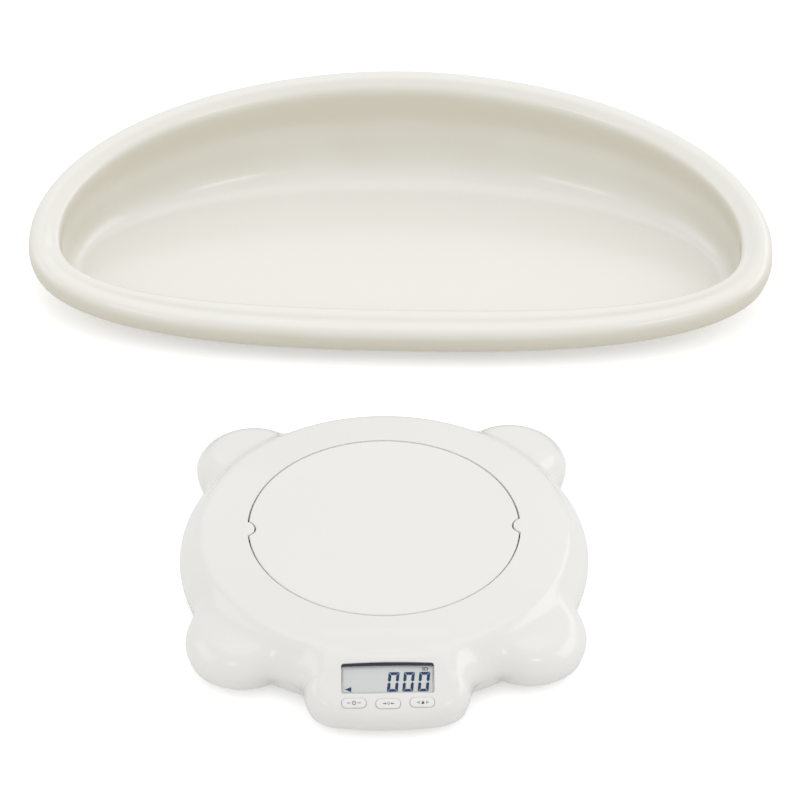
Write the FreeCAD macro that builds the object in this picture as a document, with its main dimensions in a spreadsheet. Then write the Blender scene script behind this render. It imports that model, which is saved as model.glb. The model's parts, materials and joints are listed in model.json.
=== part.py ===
"""Digital baby weighing scale: a turtle-shaped base and a cradle tray that lifts off.

Millimetres, +Z up. The origin is on the table, under the middle of the round
weighing platform. -Y is the side of the display, and the tray stands behind the base.
"""
import FreeCAD
import Part
import math
import os
import re
import Sketcher

from FreeCAD import Placement, Rotation, Vector

doc = FreeCAD.newDocument("BabyScale")
sheet = doc.addObject("Spreadsheet::Sheet", "Sizes")

DRIVING_SIZES = {
    # plan of the housing
    "body_radius": 154.5,
    "rear_paw_radius": 40,
    "rear_paw_across": 101.5,
    "rear_paw_behind": 108,
    "front_paw_radius": 43,
    "front_paw_across": 107.5,
    "front_paw_ahead": 91,
    "head_width": 125,
    "head_reach": 181.5,
    "head_corner": 27,
    "head_bow": 230,
    # heights of the housing
    "underside": 6,
    "parting": 8,
    "skirt_top": 24,
    "ring_radius": 140,
    "ring_edge_height": 49.6,
    "ring_inner_height": 55.5,
    "rear_paw_height": 40,
    "front_paw_height": 37,
    "head_slope": 30,
    # rounding and walls of the housing
    "lower_round": 10,
    "shoulder_round": 9,
    "paw_round": 16,
    "head_round": 8,
    "cover_wall": 2.5,
    "lip_wall": 2,
    "lip_height": 4,
    "fit_gap": 0.3,
    "boss_count": 6,
    "boss_circle": 125,
    "boss_radius": 4.5,
    "pilot_radius": 1.5,
    "small_pilot_radius": 0.9,
    "pilot_spare": 2,
    "screw_gap": 0.1,
    "case_screw_length": 12,
    "screw_head_height": 1.8,
    "small_head_radius": 2.1,
    # weighing platform
    "opening_radius": 102.7,
    "platform_gap": 1.2,
    "platform_top": 56,
    "platform_plate": 3,
    "skirt_depth": 10,
    "skirt_wall": 2.5,
    "collar_depth": 11,
    "tab_radius": 8.6,
    "tab_reach": 5.4,
    "tab_depth": 4,
    "platform_travel": 0.4,
    "post_count": 4,
    "post_circle": 80,
    "post_radius": 6,
    "platform_screw_bite": 10,
    "support_plate": 3,
    "support_hub_radius": 30,
    "support_arm_width": 20,
    "support_arm_end": 2,
    "support_height": 33,
    "stop_circle": 60,
    "stop_radius": 5,
    "stop_pad": 2.3,
    # load cell
    "beam_length": 80,
    "beam_section": 12.7,
    "beam_bore": 4.5,
    "beam_bore_spacing": 14,
    "beam_slot": 2.2,
    "seat_height": 3,
    "seat_margin": 3,
    "spacer_height": 4,
    "spacer_length": 26,
    "cell_screw_radius": 2,
    "cell_screw_spacing": 14,
    "cell_screw_margin": 6,
    "gauge_length": 22,
    "gauge_thickness": 0.8,
    # display and keys, measured down the slope of the head
    "window_width": 68.6,
    "window_length": 23.2,
    "window_down": 18.4,
    "window_corner": 2,
    "window_thickness": 1.5,
    "window_recess": 0.2,
    "window_ledge": 1.5,
    "lcd_width": 71.5,
    "lcd_length": 25.6,
    "lcd_thickness": 2.8,
    "lcd_frame_wall": 1.6,
    "zebra_width": 67,
    "zebra_depth": 3.2,
    "board_width": 88,
    "board_length": 35,
    "board_down": 24.3,
    "board_depth": 7.5,
    "board_thickness": 1.6,
    "board_screw_inset": 3.2,
    "board_post_radius": 2.6,
    "board_screw_bite": 3.5,
    "key_width": 18,
    "key_length": 7.4,
    "key_corner": 3.4,
    "key_spacing": 25.2,
    "key_down": 38.4,
    "key_arc": 0.8,
    "key_rise": 0.9,
    "key_gap": 0.35,
    "key_flange": 0.5,
    "key_flange_rim": 0.7,
    "key_travel": 0.6,
    "switch_side": 6,
    "switch_plunger_radius": 1.5,
    "switch_body": 2,
    "switch_plunger": 1.2,
    "chip_side": 12,
    "chip_height": 1.4,
    # rubber feet
    "foot_radius": 12,
    "foot_bevel": 1.5,
    "foot_neck_radius": 4,
    "foot_barb_radius": 5.5,
    "foot_barb_height": 1.5,
    # battery bay
    "cell_count": 4,
    "cell_diameter": 10.5,
    "cell_pitch": 10.9,
    "cell_length": 44.5,
    "cell_edge": 0.4,
    "cell_nub_radius": 1.9,
    "cell_nub_length": 0.8,
    "bay_length": 49.6,
    "bay_behind": 56,
    "bay_wall": 1.6,
    "bay_slack": 1.4,
    "contact_thickness": 0.4,
    "contact_width": 8,
    "contact_height": 8,
    "spring_wire": 0.55,
    "door_tab_reach": 2.2,
    "door_tab_width": 8,
    "door_tab_spacing": 30,
    "door_tab_thickness": 1.2,
    "door_finger_width": 12,
    "door_finger_thickness": 0.8,
    "door_finger_height": 2.5,
    "door_finger_setback": 0.2,
    "door_grip_width": 16,
    "door_grip_length": 5,
    "wire_radius": 1.2,
    # tray
    "tray_width": 586,
    "tray_front": 133,
    "tray_back": 135,
    "tray_widest": 36,
    "tray_crest_front": 30,
    "tray_crest_back": 92,
    "tray_wall": 3.5,
    "tray_floor": 10,
    "tray_rim_inset": 8,
    "tray_rim_width": 16,
    "tray_rim_drop": 4,
    "tray_front_rim_width": 35,
    "tray_front_rim_drop": 10.5,
    "tray_lip_drop": 18,
    "tray_lip_inset": 2,
    "floor_width": 500,
    "floor_front": 74,
    "floor_back": 66,
    "floor_widest": 34,
    "tray_foot_radius": 11,
    "tray_foot_across": 68,
    "tray_foot_spread": 53,
    "tray_foot_centre": 9,
    "tray_pad": 3,
    "tray_pad_setback": 1,
    "tray_stand_x": 21,
    "tray_stand_y": 395,
    "tray_stand_turn": -2.8,
}

for row, (alias, value) in enumerate(DRIVING_SIZES.items(), start=1):
    sheet.set(f"A{row}", alias)
    sheet.set(f"B{row}", str(value))
    sheet.setAlias(f"B{row}", alias)
doc.recompute()

sub_parts = []


def size(alias):
    """One driving size, read from the sheet."""
    return float(sheet.get(alias))


def in_sheet(text):
    """Prefixes every alias in an expression with the name of the sheet."""
    names = re.compile(r"\b(" + "|".join(sorted(DRIVING_SIZES, key=len, reverse=True)) + r")\b")
    return names.sub(r"Sizes.\1", str(text))


def evaluate(text):
    """The number that an expression of aliases has at the sheet's present sizes."""
    scratch = doc.getObject("Scratch") or doc.addObject("App::FeaturePython", "Scratch")
    return float(scratch.evalExpression(in_sheet(text)))


def bind(thing, **expressions):
    """Ties properties to the sheet; two underscores in a name stand for a dot."""
    for name, text in expressions.items():
        thing.setExpression(name.replace("__", "."), in_sheet(text))


def finish(thing, label):
    """Names a finished sub-part and puts it on the list of sub-parts."""
    thing.Label = label
    sub_parts.append(thing)
    return thing


# ---- solids that are not bodies --------------------------------------------------


def block(name, length, width, height, x="0", y="0", z="0"):
    """A box centred on x and y, standing on z."""
    solid = doc.addObject("Part::Box", name)
    bind(solid, Length=length, Width=width, Height=height)
    bind(solid, Placement__Base__x=f"{x} - ({length}) / 2", Placement__Base__y=f"{y} - ({width}) / 2",
         Placement__Base__z=z)
    return solid


def computed(name, shape, placement=Placement()):
    feature = doc.addObject("Part::Feature", name)
    feature.Shape = shape
    feature.Placement = placement
    return feature


# ---- PartDesign bodies tied to the sheet ------------------------------------------------


def new_body(name):
    return doc.addObject("PartDesign::Body", name)


def new_sketch(body, role="XY_Plane", offset="0"):
    sketch = body.newObject("Sketcher::SketchObject", "Sketch")
    plane = [item for item in body.Origin.OriginFeatures if item.Role == role][0]
    sketch.AttachmentSupport = [(plane, "")]
    sketch.MapMode = "FlatFace"
    bind(sketch, AttachmentOffset__Base__z=offset)
    return sketch


def place_point(sketch, geometry, point, x, y):
    for kind, text in (("DistanceX", x), ("DistanceY", y)):
        rule = Sketcher.Constraint(kind, -1, 1, geometry, point, evaluate(text))
        index = sketch.addConstraint(rule)
        sketch.setExpression(f"Constraints[{index}]", in_sheet(text))


def draw_polygon(sketch, corners):
    """A closed outline of straight lines whose corners follow the sheet."""
    spots = [Vector(evaluate(x), evaluate(y), 0) for x, y in corners]
    first = sketch.GeometryCount
    count = len(corners)
    for index in range(count):
        line = Part.LineSegment(spots[index], spots[(index + 1) % count])
        sketch.addGeometry(line, False)
    for index in range(count):
        following = first + (index + 1) % count
        sketch.addConstraint(Sketcher.Constraint("Coincident", first + index, 2, following, 1))
    for index, (x, y) in enumerate(corners):
        place_point(sketch, first + index, 1, x, y)


def draw_rectangle(sketch, length, width, x="0", y="0"):
    left = f"{x} - ({length}) / 2"
    right = f"{x} + ({length}) / 2"
    low = f"{y} - ({width}) / 2"
    high = f"{y} + ({width}) / 2"
    draw_polygon(sketch, [(left, low), (right, low), (right, high), (left, high)])


def draw_circle(sketch, radius, x="0", y="0"):
    centre = Vector(evaluate(x), evaluate(y), 0)
    circle = Part.Circle(centre, Vector(0, 0, 1), evaluate(radius))
    geometry = sketch.addGeometry(circle, False)
    index = sketch.addConstraint(Sketcher.Constraint("Radius", geometry, evaluate(radius)))
    sketch.setExpression(f"Constraints[{index}]", in_sheet(radius))
    place_point(sketch, geometry, 3, x, y)


def pad(body, sketch, length):
    feature = body.newObject("PartDesign::Pad", "Pad")
    feature.Profile = sketch
    bind(feature, Length=length)
    return feature


def pocket(body, sketch, depth, upwards=False):
    """Removes the outline of a sketch; upwards cuts away from the sketch along its normal."""
    feature = body.newObject("PartDesign::Pocket", "Pocket")
    feature.Profile = sketch
    feature.Reversed = upwards
    bind(feature, Length=depth)
    return feature


def revolve(body, sketch):
    feature = body.newObject("PartDesign::Revolution", "Revolution")
    feature.Profile = sketch
    feature.ReferenceAxis = (sketch, ["V_Axis"])
    feature.Angle = 360
    return feature


def round_upright_edges(body, base, radius):
    """Fillets the straight edges that run along the body's own Z."""
    doc.recompute()
    names = []
    for index, edge in enumerate(base.Shape.Edges, start=1):
        if len(edge.Vertexes) < 2:
            continue
        run = edge.Vertexes[1].Point - edge.Vertexes[0].Point
        if run.Length > 0.01 and abs(run.z) > 0.999 * run.Length:
            names.append(f"Edge{index}")
    fillet = body.newObject("PartDesign::Fillet", "Fillet")
    fillet.Base = (base, names)
    bind(fillet, Radius=radius)
    return fillet


def around(count, circle, first_turn=0.0):
    """Expressions of the x and y of places spread evenly on a circle."""
    step = 360.0 / count
    turns = [first_turn + step * index for index in range(count)]
    return [(f"({circle}) * cos({turn} deg)", f"({circle}) * sin({turn} deg)") for turn in turns]


# ---- the moulded form of the housing ----------------------------------------------------


def paws():
    """Centre, radius and height of the four paws."""
    rear = (size("rear_paw_across"), size("rear_paw_behind"))
    front = (size("front_paw_across"), -size("front_paw_ahead"))
    for side in (-1, 1):
        yield side * rear[0], rear[1], size("rear_paw_radius"), size("rear_paw_height")
        yield side * front[0], front[1], size("front_paw_radius"), size("front_paw_height")


def revolved(profile, x=0.0, y=0.0):
    """Turns a closed profile of (radius, height) corners about an upright axis."""
    corners = [Vector(x + radius, y, height) for radius, height in profile]
    face = Part.Face(Part.makePolygon(corners + corners[:1]))
    return face.revolve(Vector(x, y, 0), Vector(0, 0, 1), 360)


def ring_edges(solid, radius, height):
    """The circular edges of a turned solid at one radius and height."""
    found = []
    for edge in solid.Edges:
        curve = edge.Curve
        if not isinstance(curve, Part.Circle):
            continue
        if abs(curve.Radius - radius) < 1e-3 and abs(curve.Center.z - height) < 1e-3:
            found.append(edge)
    return found


def dome_form(inset):
    """The round body: skirt, shoulder and the shallow ring around the platform."""
    low = size("underside") + inset
    wide = size("body_radius") - inset
    lean = math.atan2(size("body_radius") - size("ring_radius"),
                      size("ring_edge_height") - size("skirt_top"))
    rise = size("ring_inner_height") - size("ring_edge_height")
    pitch = math.atan2(rise, size("ring_radius") - size("opening_radius"))
    side_inset = inset / math.cos(lean)
    top_inset = inset / math.cos(pitch)
    # the shoulder is where the inset skirt and the inset ring cross
    skirt_run = math.tan(lean)
    ring_fall = math.tan(pitch)
    drop = (side_inset * ring_fall - top_inset) / (1 - skirt_run * ring_fall)
    shoulder = size("ring_radius") - side_inset - drop * skirt_run
    shoulder_height = size("ring_edge_height") + drop
    bend_height = size("skirt_top") - (side_inset - inset) / skirt_run
    centre_height = size("ring_inner_height") + size("opening_radius") * ring_fall - top_inset
    solid = revolved([(0, low), (wide, low), (wide, bend_height),
                      (shoulder, shoulder_height), (0, centre_height)])
    solid = solid.makeFillet(size("shoulder_round") - inset,
                             ring_edges(solid, shoulder, shoulder_height))
    return solid.makeFillet(size("lower_round") - inset, ring_edges(solid, wide, low))


def paw_form(x, y, radius, height, inset):
    """One paw: a low round pad with a deeply rounded top."""
    low = size("underside") + inset
    wide = radius - inset
    top = height - inset
    solid = revolved([(0, low), (wide, low), (wide, top), (0, top)], x, y)
    solid = solid.makeFillet(size("paw_round") - inset, ring_edges(solid, wide, top))
    return solid.makeFillet(size("lower_round") - inset, ring_edges(solid, wide, low))


# the most of the nose's front wall that its two roundings may take
NOSE_UPPER_SHARE = 0.45
NOSE_LOWER_SHARE = 0.55


def head_form(inset):
    """The head: a sloping panel for the display, with rounded corners and a bowed front."""
    low = size("underside") + inset
    slope = math.radians(size("head_slope"))
    half_width = size("head_width") / 2 - inset
    front = -size("head_reach") + inset
    back = -size("opening_radius")
    crown = -size("ring_radius")
    crown_height = size("ring_edge_height") - inset / math.cos(slope)
    nose_height = crown_height - (crown - front) * math.tan(slope)
    nose_room = nose_height - low
    upper_round = min(size("head_round") - inset, NOSE_UPPER_SHARE * nose_room)
    lower_round = min(size("lower_round") - inset, NOSE_LOWER_SHARE * nose_room)
    outline = [(back, low), (front, low), (front, nose_height), (crown, crown_height), (back, crown_height)]
    corners = [Vector(-half_width, y, z) for y, z in outline]
    face = Part.Face(Part.makePolygon(corners + corners[:1]))
    side_view = face.extrude(Vector(2 * half_width, 0, 0))
    plan = Part.makeBox(2 * half_width, back - front, crown_height - low, Vector(-half_width, front, low))
    bow = size("head_bow") - inset
    disc = Part.makeCylinder(bow, 2 * size("platform_top"), Vector(0, front + bow, 0))
    plan = plan.common(disc)
    upright = [edge for edge in plan.Edges if is_front_upright(edge, back)]
    plan = plan.makeFillet(size("head_corner") - inset, upright)
    solid = plan.common(side_view)
    rim = [edge for edge in solid.Edges if is_slope_rim(edge, crown, half_width)]
    solid = solid.makeFillet(upper_round, rim)
    base = [edge for edge in solid.Edges if is_base_rim(edge, low, back)]
    return solid.makeFillet(lower_round, base)


def is_front_upright(edge, back):
    box = edge.BoundBox
    return box.ZLength > 1 and box.XLength < 0.01 and box.YLength < 0.01 and box.YMax < back - 1


def is_slope_rim(edge, crown, half_width):
    """Edges between the sloping panel and the walls below it."""
    box = edge.BoundBox
    on_wall = abs(abs(box.XMin) - half_width) < 0.01 or abs(abs(box.XMax) - half_width) < 0.01
    sloping = box.ZLength > 0.01 and box.YLength > 0.01 and box.YMax < crown + 0.01
    front_edge = box.YMax < crown - 1 and box.XLength > half_width and box.ZMin > size("parting")
    return (sloping and on_wall) or front_edge


def is_base_rim(edge, low, back):
    box = edge.BoundBox
    flat = abs(box.ZMin - low) < 0.01 and box.ZLength < 0.01
    return flat and box.YMin < back - 0.01


def housing_form(inset):
    """The whole outer form, moved inwards by an inset."""
    pieces = [paw_form(*paw, inset) for paw in paws()]
    pieces.append(head_form(inset))
    return dome_form(inset).multiFuse(pieces).removeSplitter()


def plan_prism(inset, low, high):
    """An upright prism over the housing's plan, moved inwards by an inset."""
    height = high - low
    discs = [Part.makeCylinder(radius - inset, height, Vector(x, y, low))
             for x, y, radius, _ in paws()]
    half_width = size("head_width") / 2 - inset
    reach = size("head_reach") - inset
    head = Part.makeBox(2 * half_width, reach, height, Vector(-half_width, -reach, low))
    front = [edge for edge in head.Edges if is_front_upright(edge, -size("opening_radius"))]
    head = head.makeFillet(size("head_corner") - inset, front)
    body = Part.makeCylinder(size("body_radius") - inset, height, Vector(0, 0, low))
    return body.multiFuse(discs + [head]).removeSplitter()


def half_space(low, high):
    """A slab that spans the housing between two heights."""
    reach = 2 * (size("body_radius") + size("rear_paw_radius"))
    return Part.makeBox(2 * reach, 2 * reach, high - low, Vector(-reach, -reach, low))


def parting_inset():
    """How far the lower rounding has drawn the wall in at the parting plane."""
    below = size("lower_round") - (size("parting") - size("underside"))
    return size("lower_round") - math.sqrt(size("lower_round") ** 2 - below ** 2)


def head_frame():
    """Origin at the top of the sloping panel, X to the right, Y up the slope, Z outwards."""
    origin = Vector(0, -size("ring_radius"), size("ring_edge_height"))
    return Placement(origin, Rotation(Vector(1, 0, 0), size("head_slope")))


def on_head(x=0.0, down=0.0, out=0.0):
    """A placement on the sloping panel."""
    return head_frame().multiply(Placement(Vector(x, -down, out), Rotation()))


def panel_space(depth):
    """Everything above a plane that lies this deep below the sloping panel."""
    reach = 2 * size("head_reach")
    space = Part.makeBox(reach, reach, reach, Vector(-reach / 2, -reach, 0))
    space.Placement = on_head(0, 0, -depth)
    return space


def slab(width, length, corner, thickness, x, down, out):
    """A plate with rounded corners, parallel to the sloping panel; out is its lower face."""
    solid = Part.makeBox(width, length, thickness, Vector(-width / 2, -length / 2, 0))
    if corner > 0:
        upright = [edge for edge in solid.Edges if edge.BoundBox.ZLength > thickness / 2]
        solid = solid.makeFillet(corner, upright)
    solid.Placement = on_head(x, down, out)
    return solid


def circle_places(count, circle, first_turn):
    step = 2 * math.pi / count
    turns = [math.radians(first_turn) + step * index for index in range(int(count))]
    return [(circle * math.cos(turn), circle * math.sin(turn)) for turn in turns]


BOSS_FIRST_TURN = 30
POST_FIRST_TURN = 45
OVERCUT = 1.0


def boss_places():
    return circle_places(size("boss_count"), size("boss_circle"), BOSS_FIRST_TURN)


def key_places():
    """Where the keys lie, across and down the slope: the outer two sit a little higher."""
    return [(index * size("key_spacing"), size("key_down") - abs(index) * size("key_arc"))
            for index in (-1, 0, 1)]


def board_screw_places():
    """The four corners of the board, across and down the slope."""
    across = size("board_width") / 2 - size("board_screw_inset")
    along = size("board_length") / 2 - size("board_screw_inset")
    return [(side * across, size("board_down") + end * along) for side in (-1, 1) for end in (-1, 1)]


def foot_places():
    return [(x, y) for x, y, _, _ in paws()]


# ---- covers -----------------------------------------------------------------------------


def make_top_cover():
    wall = size("cover_wall")
    high = 2 * size("platform_top")
    parting = size("parting")
    opening = size("opening_radius")
    collar_low = size("ring_inner_height") - size("collar_depth")
    ring_top = size("ring_inner_height")
    form = housing_form(0).common(half_space(parting, high))
    cavity = housing_form(wall)
    mouth_inset = parting_inset() + wall
    mouth = plan_prism(mouth_inset, 0, parting + size("lower_round") / 2)
    hole = Part.makeCylinder(opening, high, Vector(0, 0, parting))
    shell = form.cut(cavity).cut(mouth).cut(hole)
    collar = Part.makeCylinder(opening + wall, size("collar_depth") - wall / 2, Vector(0, 0, collar_low))
    shell = shell.fuse(collar.cut(hole))
    tabs = []
    for side in (-1, 1):
        centre = side * (opening - size("tab_reach") + size("tab_radius"))
        low = Vector(centre, 0, ring_top - size("tab_depth"))
        tab = Part.makeCylinder(size("tab_radius"), size("tab_depth"), low)
        inside = Part.makeCylinder(opening + wall / 2, high, Vector(0, 0, 0))
        tabs.append(tab.common(inside))
    height = size("ring_edge_height") - parting
    bosses = [Part.makeCylinder(size("boss_radius"), height, Vector(x, y, parting))
              for x, y in boss_places()]
    shell = shell.multiFuse(tabs + bosses + board_posts())
    depth = size("case_screw_length") + size("pilot_spare")
    pilots = [Part.makeCylinder(size("pilot_radius") + size("screw_gap"), depth, Vector(x, y, parting))
              for x, y in boss_places()]
    shell = shell.cut(Part.makeCompound(pilots + head_holes())).removeSplitter()
    finish(computed("TopCover", shell), "top_cover")


def board_posts():
    """Posts that carry the circuit board below the sloping panel."""
    posts = []
    for x, down in board_screw_places():
        length = size("board_depth") - size("cover_wall") / 2
        post = Part.makeCylinder(size("board_post_radius"), length)
        post.Placement = on_head(x, down, -size("board_depth"))
        posts.append(post)
    return posts


def head_holes():
    """Everything cut through the sloping panel: window seat, window ledge, keys, board screws."""
    deep = size("cover_wall") + OVERCUT
    clear = size("fit_gap") / 2
    seat = size("window_thickness") + size("window_recess")
    ledge = size("window_ledge")
    tools = [slab(size("window_width") + 2 * clear, size("window_length") + 2 * clear,
                  size("window_corner"), seat + OVERCUT, 0, size("window_down"), -seat),
             slab(size("window_width") - 2 * ledge, size("window_length") - 2 * ledge,
                  size("window_corner"), deep, 0, size("window_down"), -deep)]
    for x, down in key_places():
        tools.append(slab(size("key_width") + 2 * size("key_gap"), size("key_length") + 2 * size("key_gap"),
                          size("key_corner"), deep + OVERCUT, x, down, -deep))
    for x, down in board_screw_places():
        pilot = Part.makeCylinder(size("small_pilot_radius") + size("screw_gap"),
                                  size("board_screw_bite") + size("pilot_spare"))
        pilot.Placement = on_head(x, down, -size("board_depth"))
        tools.append(pilot)
    return tools


def bay_width():
    return size("cell_count") * size("cell_pitch") + size("bay_slack")


def bay_roof():
    return size("parting") + size("fit_gap") + size("cell_diameter") + size("fit_gap")


def make_bottom_cover():
    low = size("underside")
    parting = size("parting")
    fit = size("fit_gap")
    plate = housing_form(0).common(half_space(0, parting))
    lip_inset = parting_inset() + size("cover_wall") + fit
    lip = plan_prism(lip_inset, parting, parting + size("lip_height"))
    lip = lip.cut(plan_prism(lip_inset + size("lip_wall"), 0, size("platform_top")))
    lip = lip.cut(panel_space(size("cover_wall") + fit))
    seat_x = -(size("beam_length") - size("spacer_length")) / 2
    seat_length = size("spacer_length") + 2 * size("seat_margin")
    seat_width = size("beam_section") + 2 * size("seat_margin")
    seat = Part.makeBox(seat_length, seat_width, size("seat_height"),
                        Vector(seat_x - seat_length / 2, -seat_width / 2, parting))
    stop_top = size("support_height") - size("platform_travel") - fit - size("stop_pad")
    stops = [Part.makeCylinder(size("stop_radius"), stop_top - parting, Vector(x, y, parting))
             for x, y in circle_places(size("post_count"), size("stop_circle"), POST_FIRST_TURN)]
    wall = size("bay_wall")
    length = size("bay_length")
    width = bay_width()
    centre = size("bay_behind")
    roof = bay_roof()
    bay = Part.makeBox(length + 2 * wall, width + 2 * wall, roof + wall - parting,
                       Vector(-length / 2 - wall, centre - width / 2 - wall, parting))
    room = Part.makeBox(length, width, roof, Vector(-length / 2, centre - width / 2, 0))
    cover = plate.multiFuse([lip, seat, bay] + stops).cut(room)
    holes = door_tab_slots()
    for x, y in boss_places():
        holes.append(Part.makeCylinder(size("pilot_radius") + fit, parting, Vector(x, y, 0)))
    for x, y in foot_places():
        holes.append(Part.makeCylinder(size("foot_neck_radius") + size("screw_gap"), parting,
                                       Vector(x, y, 0)))
    for x in lower_screw_places():
        holes.append(Part.makeCylinder(size("cell_screw_radius") + size("screw_gap"),
                                       parting + size("seat_height"), Vector(x, 0, 0)))
    cover = cover.cut(Part.makeCompound(holes)).removeSplitter()
    finish(computed("BottomCover", cover), "bottom_cover")


def door_tab_slots():
    """Slots in the rear wall of the bay that the door's tabs hook into."""
    wall_face = size("bay_behind") + bay_width() / 2
    height = size("door_tab_reach") + size("door_tab_thickness") + size("fit_gap")
    width = size("door_tab_width") + 2 * size("fit_gap")
    slots = []
    for side in (-1, 1):
        x = side * size("door_tab_spacing") / 2 - width / 2
        depth = 2 * size("bay_wall")
        low = Vector(x, wall_face - size("fit_gap"), size("parting"))
        slots.append(Part.makeBox(width, depth, height, low))
    return slots


def lower_screw_places():
    """X of the screws at the fixed end of the load cell."""
    end = -size("beam_length") / 2 + size("cell_screw_margin")
    return [end, end + size("cell_screw_spacing")]


# ---- weighing platform ------------------------------------------------------------------


def make_platform_disc():
    body = new_body("PlatformDisc")
    radius = "(opening_radius - platform_gap)"
    plate = new_sketch(body, offset="platform_top - platform_plate")
    draw_circle(plate, radius)
    pad(body, plate, "platform_plate")
    skirt = new_sketch(body, offset="platform_top - skirt_depth")
    draw_circle(skirt, radius)
    draw_circle(skirt, f"{radius} - skirt_wall")
    pad(body, skirt, "skirt_depth - platform_plate / 2")
    for x, y in around(int(size("post_count")), "post_circle", POST_FIRST_TURN):
        post = new_sketch(body, offset="support_height + support_plate")
        draw_circle(post, "post_radius", x, y)
        pad(body, post, "platform_top - platform_plate / 2 - support_height - support_plate")
    for x, y in around(int(size("post_count")), "post_circle", POST_FIRST_TURN):
        pilot = new_sketch(body, offset="support_height + support_plate")
        draw_circle(pilot, "pilot_radius + screw_gap", x, y)
        pocket(body, pilot, "platform_top - platform_plate - support_height - support_plate", upwards=True)
    for side in ("-1", "1"):
        notch = new_sketch(body)
        centre = f"{side} * (opening_radius - tab_reach + tab_radius)"
        draw_circle(notch, "tab_radius + platform_gap", centre)
        feature = pocket(body, notch, "platform_top", upwards=True)
    body.Tip = feature
    finish(body, "platform_disc")


def make_platform_support():
    body = new_body("PlatformSupport")
    hub = new_sketch(body, offset="support_height")
    draw_circle(hub, "support_hub_radius")
    pad(body, hub, "support_plate")
    reach = "2 * (post_circle + post_radius + support_arm_end)"
    for turn in (POST_FIRST_TURN, POST_FIRST_TURN + 90):
        arm = new_sketch(body, offset="support_height")
        corners = []
        for along, across in ((-1, -1), (1, -1), (1, 1), (-1, 1)):
            u = f"({along} * {reach} / 2)"
            v = f"({across} * support_arm_width / 2)"
            corners.append((f"{u} * cos({turn} deg) - {v} * sin({turn} deg)",
                            f"{u} * sin({turn} deg) + {v} * cos({turn} deg)"))
        draw_polygon(arm, corners)
        pad(body, arm, "support_plate")
    foot = new_sketch(body, offset=SUPPORT_FOOT)
    draw_rectangle(foot, "spacer_length", "beam_section", "(beam_length - spacer_length) / 2")
    pad(body, foot, f"support_height + support_plate / 2 - ({SUPPORT_FOOT})")
    for x in upper_screw_places():
        hole = new_sketch(body)
        draw_circle(hole, "cell_screw_radius + screw_gap", x)
        pocket(body, hole, "platform_top", upwards=True)
    for x, y in around(int(size("post_count")), "post_circle", POST_FIRST_TURN):
        hole = new_sketch(body)
        draw_circle(hole, "pilot_radius + screw_gap", x, y)
        feature = pocket(body, hole, "platform_top", upwards=True)
    body.Tip = feature
    finish(body, "platform_support")


BEAM_LOW = "(parting + seat_height + spacer_height)"
BEAM_HIGH = "(parting + seat_height + spacer_height + beam_section)"
SUPPORT_FOOT = f"({BEAM_HIGH} + platform_travel + fit_gap)"


def upper_screw_places():
    """Expressions of the x of the screws at the free end of the load cell."""
    end = "(beam_length / 2 - cell_screw_margin)"
    return [end, f"({end} - cell_screw_spacing)"]


def turned_screw(name, corners):
    """One fastener, turned from a half profile of (radius, height) expressions."""
    body = new_body(name)
    sketch = new_sketch(body, "XZ_Plane")
    draw_polygon(sketch, corners)
    body.Tip = revolve(body, sketch)
    return body


def screw_profile(shank, head, low, under_head, high, head_below=True):
    """A shank with a head below or above it."""
    if head_below:
        return [("0", low), (head, low), (head, under_head), (shank, under_head), (shank, high), ("0", high)]
    return [("0", low), (shank, low), (shank, under_head), (head, under_head), (head, high), ("0", high)]


def group_of_copies(label, pattern, places):
    """One sub-part of equal, separate solids: the pattern's shape at each place."""
    doc.recompute()
    copies = []
    for placement in places:
        copy = pattern.Shape.copy()
        copy.Placement = placement
        copies.append(copy)
    finish(computed(label.title().replace("_", ""), Part.makeCompound(copies)), label)


def upright(places):
    return [Placement(Vector(x, y, 0), Rotation()) for x, y in places]


def make_platform_screws():
    head_low = "support_height - screw_head_height"
    profile = screw_profile("pilot_radius", "2 * pilot_radius", head_low, "support_height",
                            "support_height + support_plate + platform_screw_bite")
    pattern = turned_screw("PlatformScrew", profile)
    places = circle_places(size("post_count"), size("post_circle"), POST_FIRST_TURN)
    group_of_copies("platform_screws", pattern, upright(places))


def make_overload_stops():
    """Pads on four posts that catch the support before the load cell bends too far."""
    low = "(support_height - platform_travel - fit_gap - stop_pad)"
    high = f"{low} + stop_pad"
    profile = [("0", low), ("stop_radius", low), ("stop_radius", high), ("0", high)]
    pattern = turned_screw("OverloadStop", profile)
    places = circle_places(size("post_count"), size("stop_circle"), POST_FIRST_TURN)
    group_of_copies("overload_stops", pattern, upright(places))


# ---- load cell --------------------------------------------------------------------------


def make_load_cell_beam():
    body = new_body("LoadCellBeam")
    bar = new_sketch(body, offset=BEAM_LOW)
    draw_rectangle(bar, "beam_length", "beam_section")
    pad(body, bar, "beam_section")
    waist = new_sketch(body, "XZ_Plane", "-beam_section")
    middle = f"{BEAM_LOW} + beam_section / 2"
    for side in ("-1", "1"):
        draw_circle(waist, "beam_bore", f"{side} * beam_bore_spacing / 2", middle)
    pocket(body, waist, "2 * beam_section", upwards=False)
    slot = new_sketch(body, "XZ_Plane", "-beam_section")
    draw_rectangle(slot, "beam_bore_spacing", "beam_slot", "0", middle)
    pocket(body, slot, "2 * beam_section", upwards=False)
    for x in lower_screw_expressions() + upper_screw_places():
        hole = new_sketch(body)
        draw_circle(hole, "cell_screw_radius + fit_gap", x)
        feature = pocket(body, hole, BEAM_HIGH, upwards=True)
    body.Tip = feature
    finish(body, "load_cell_beam")


def lower_screw_expressions():
    end = "(cell_screw_margin - beam_length / 2)"
    return [end, f"({end} + cell_screw_spacing)"]


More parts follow.
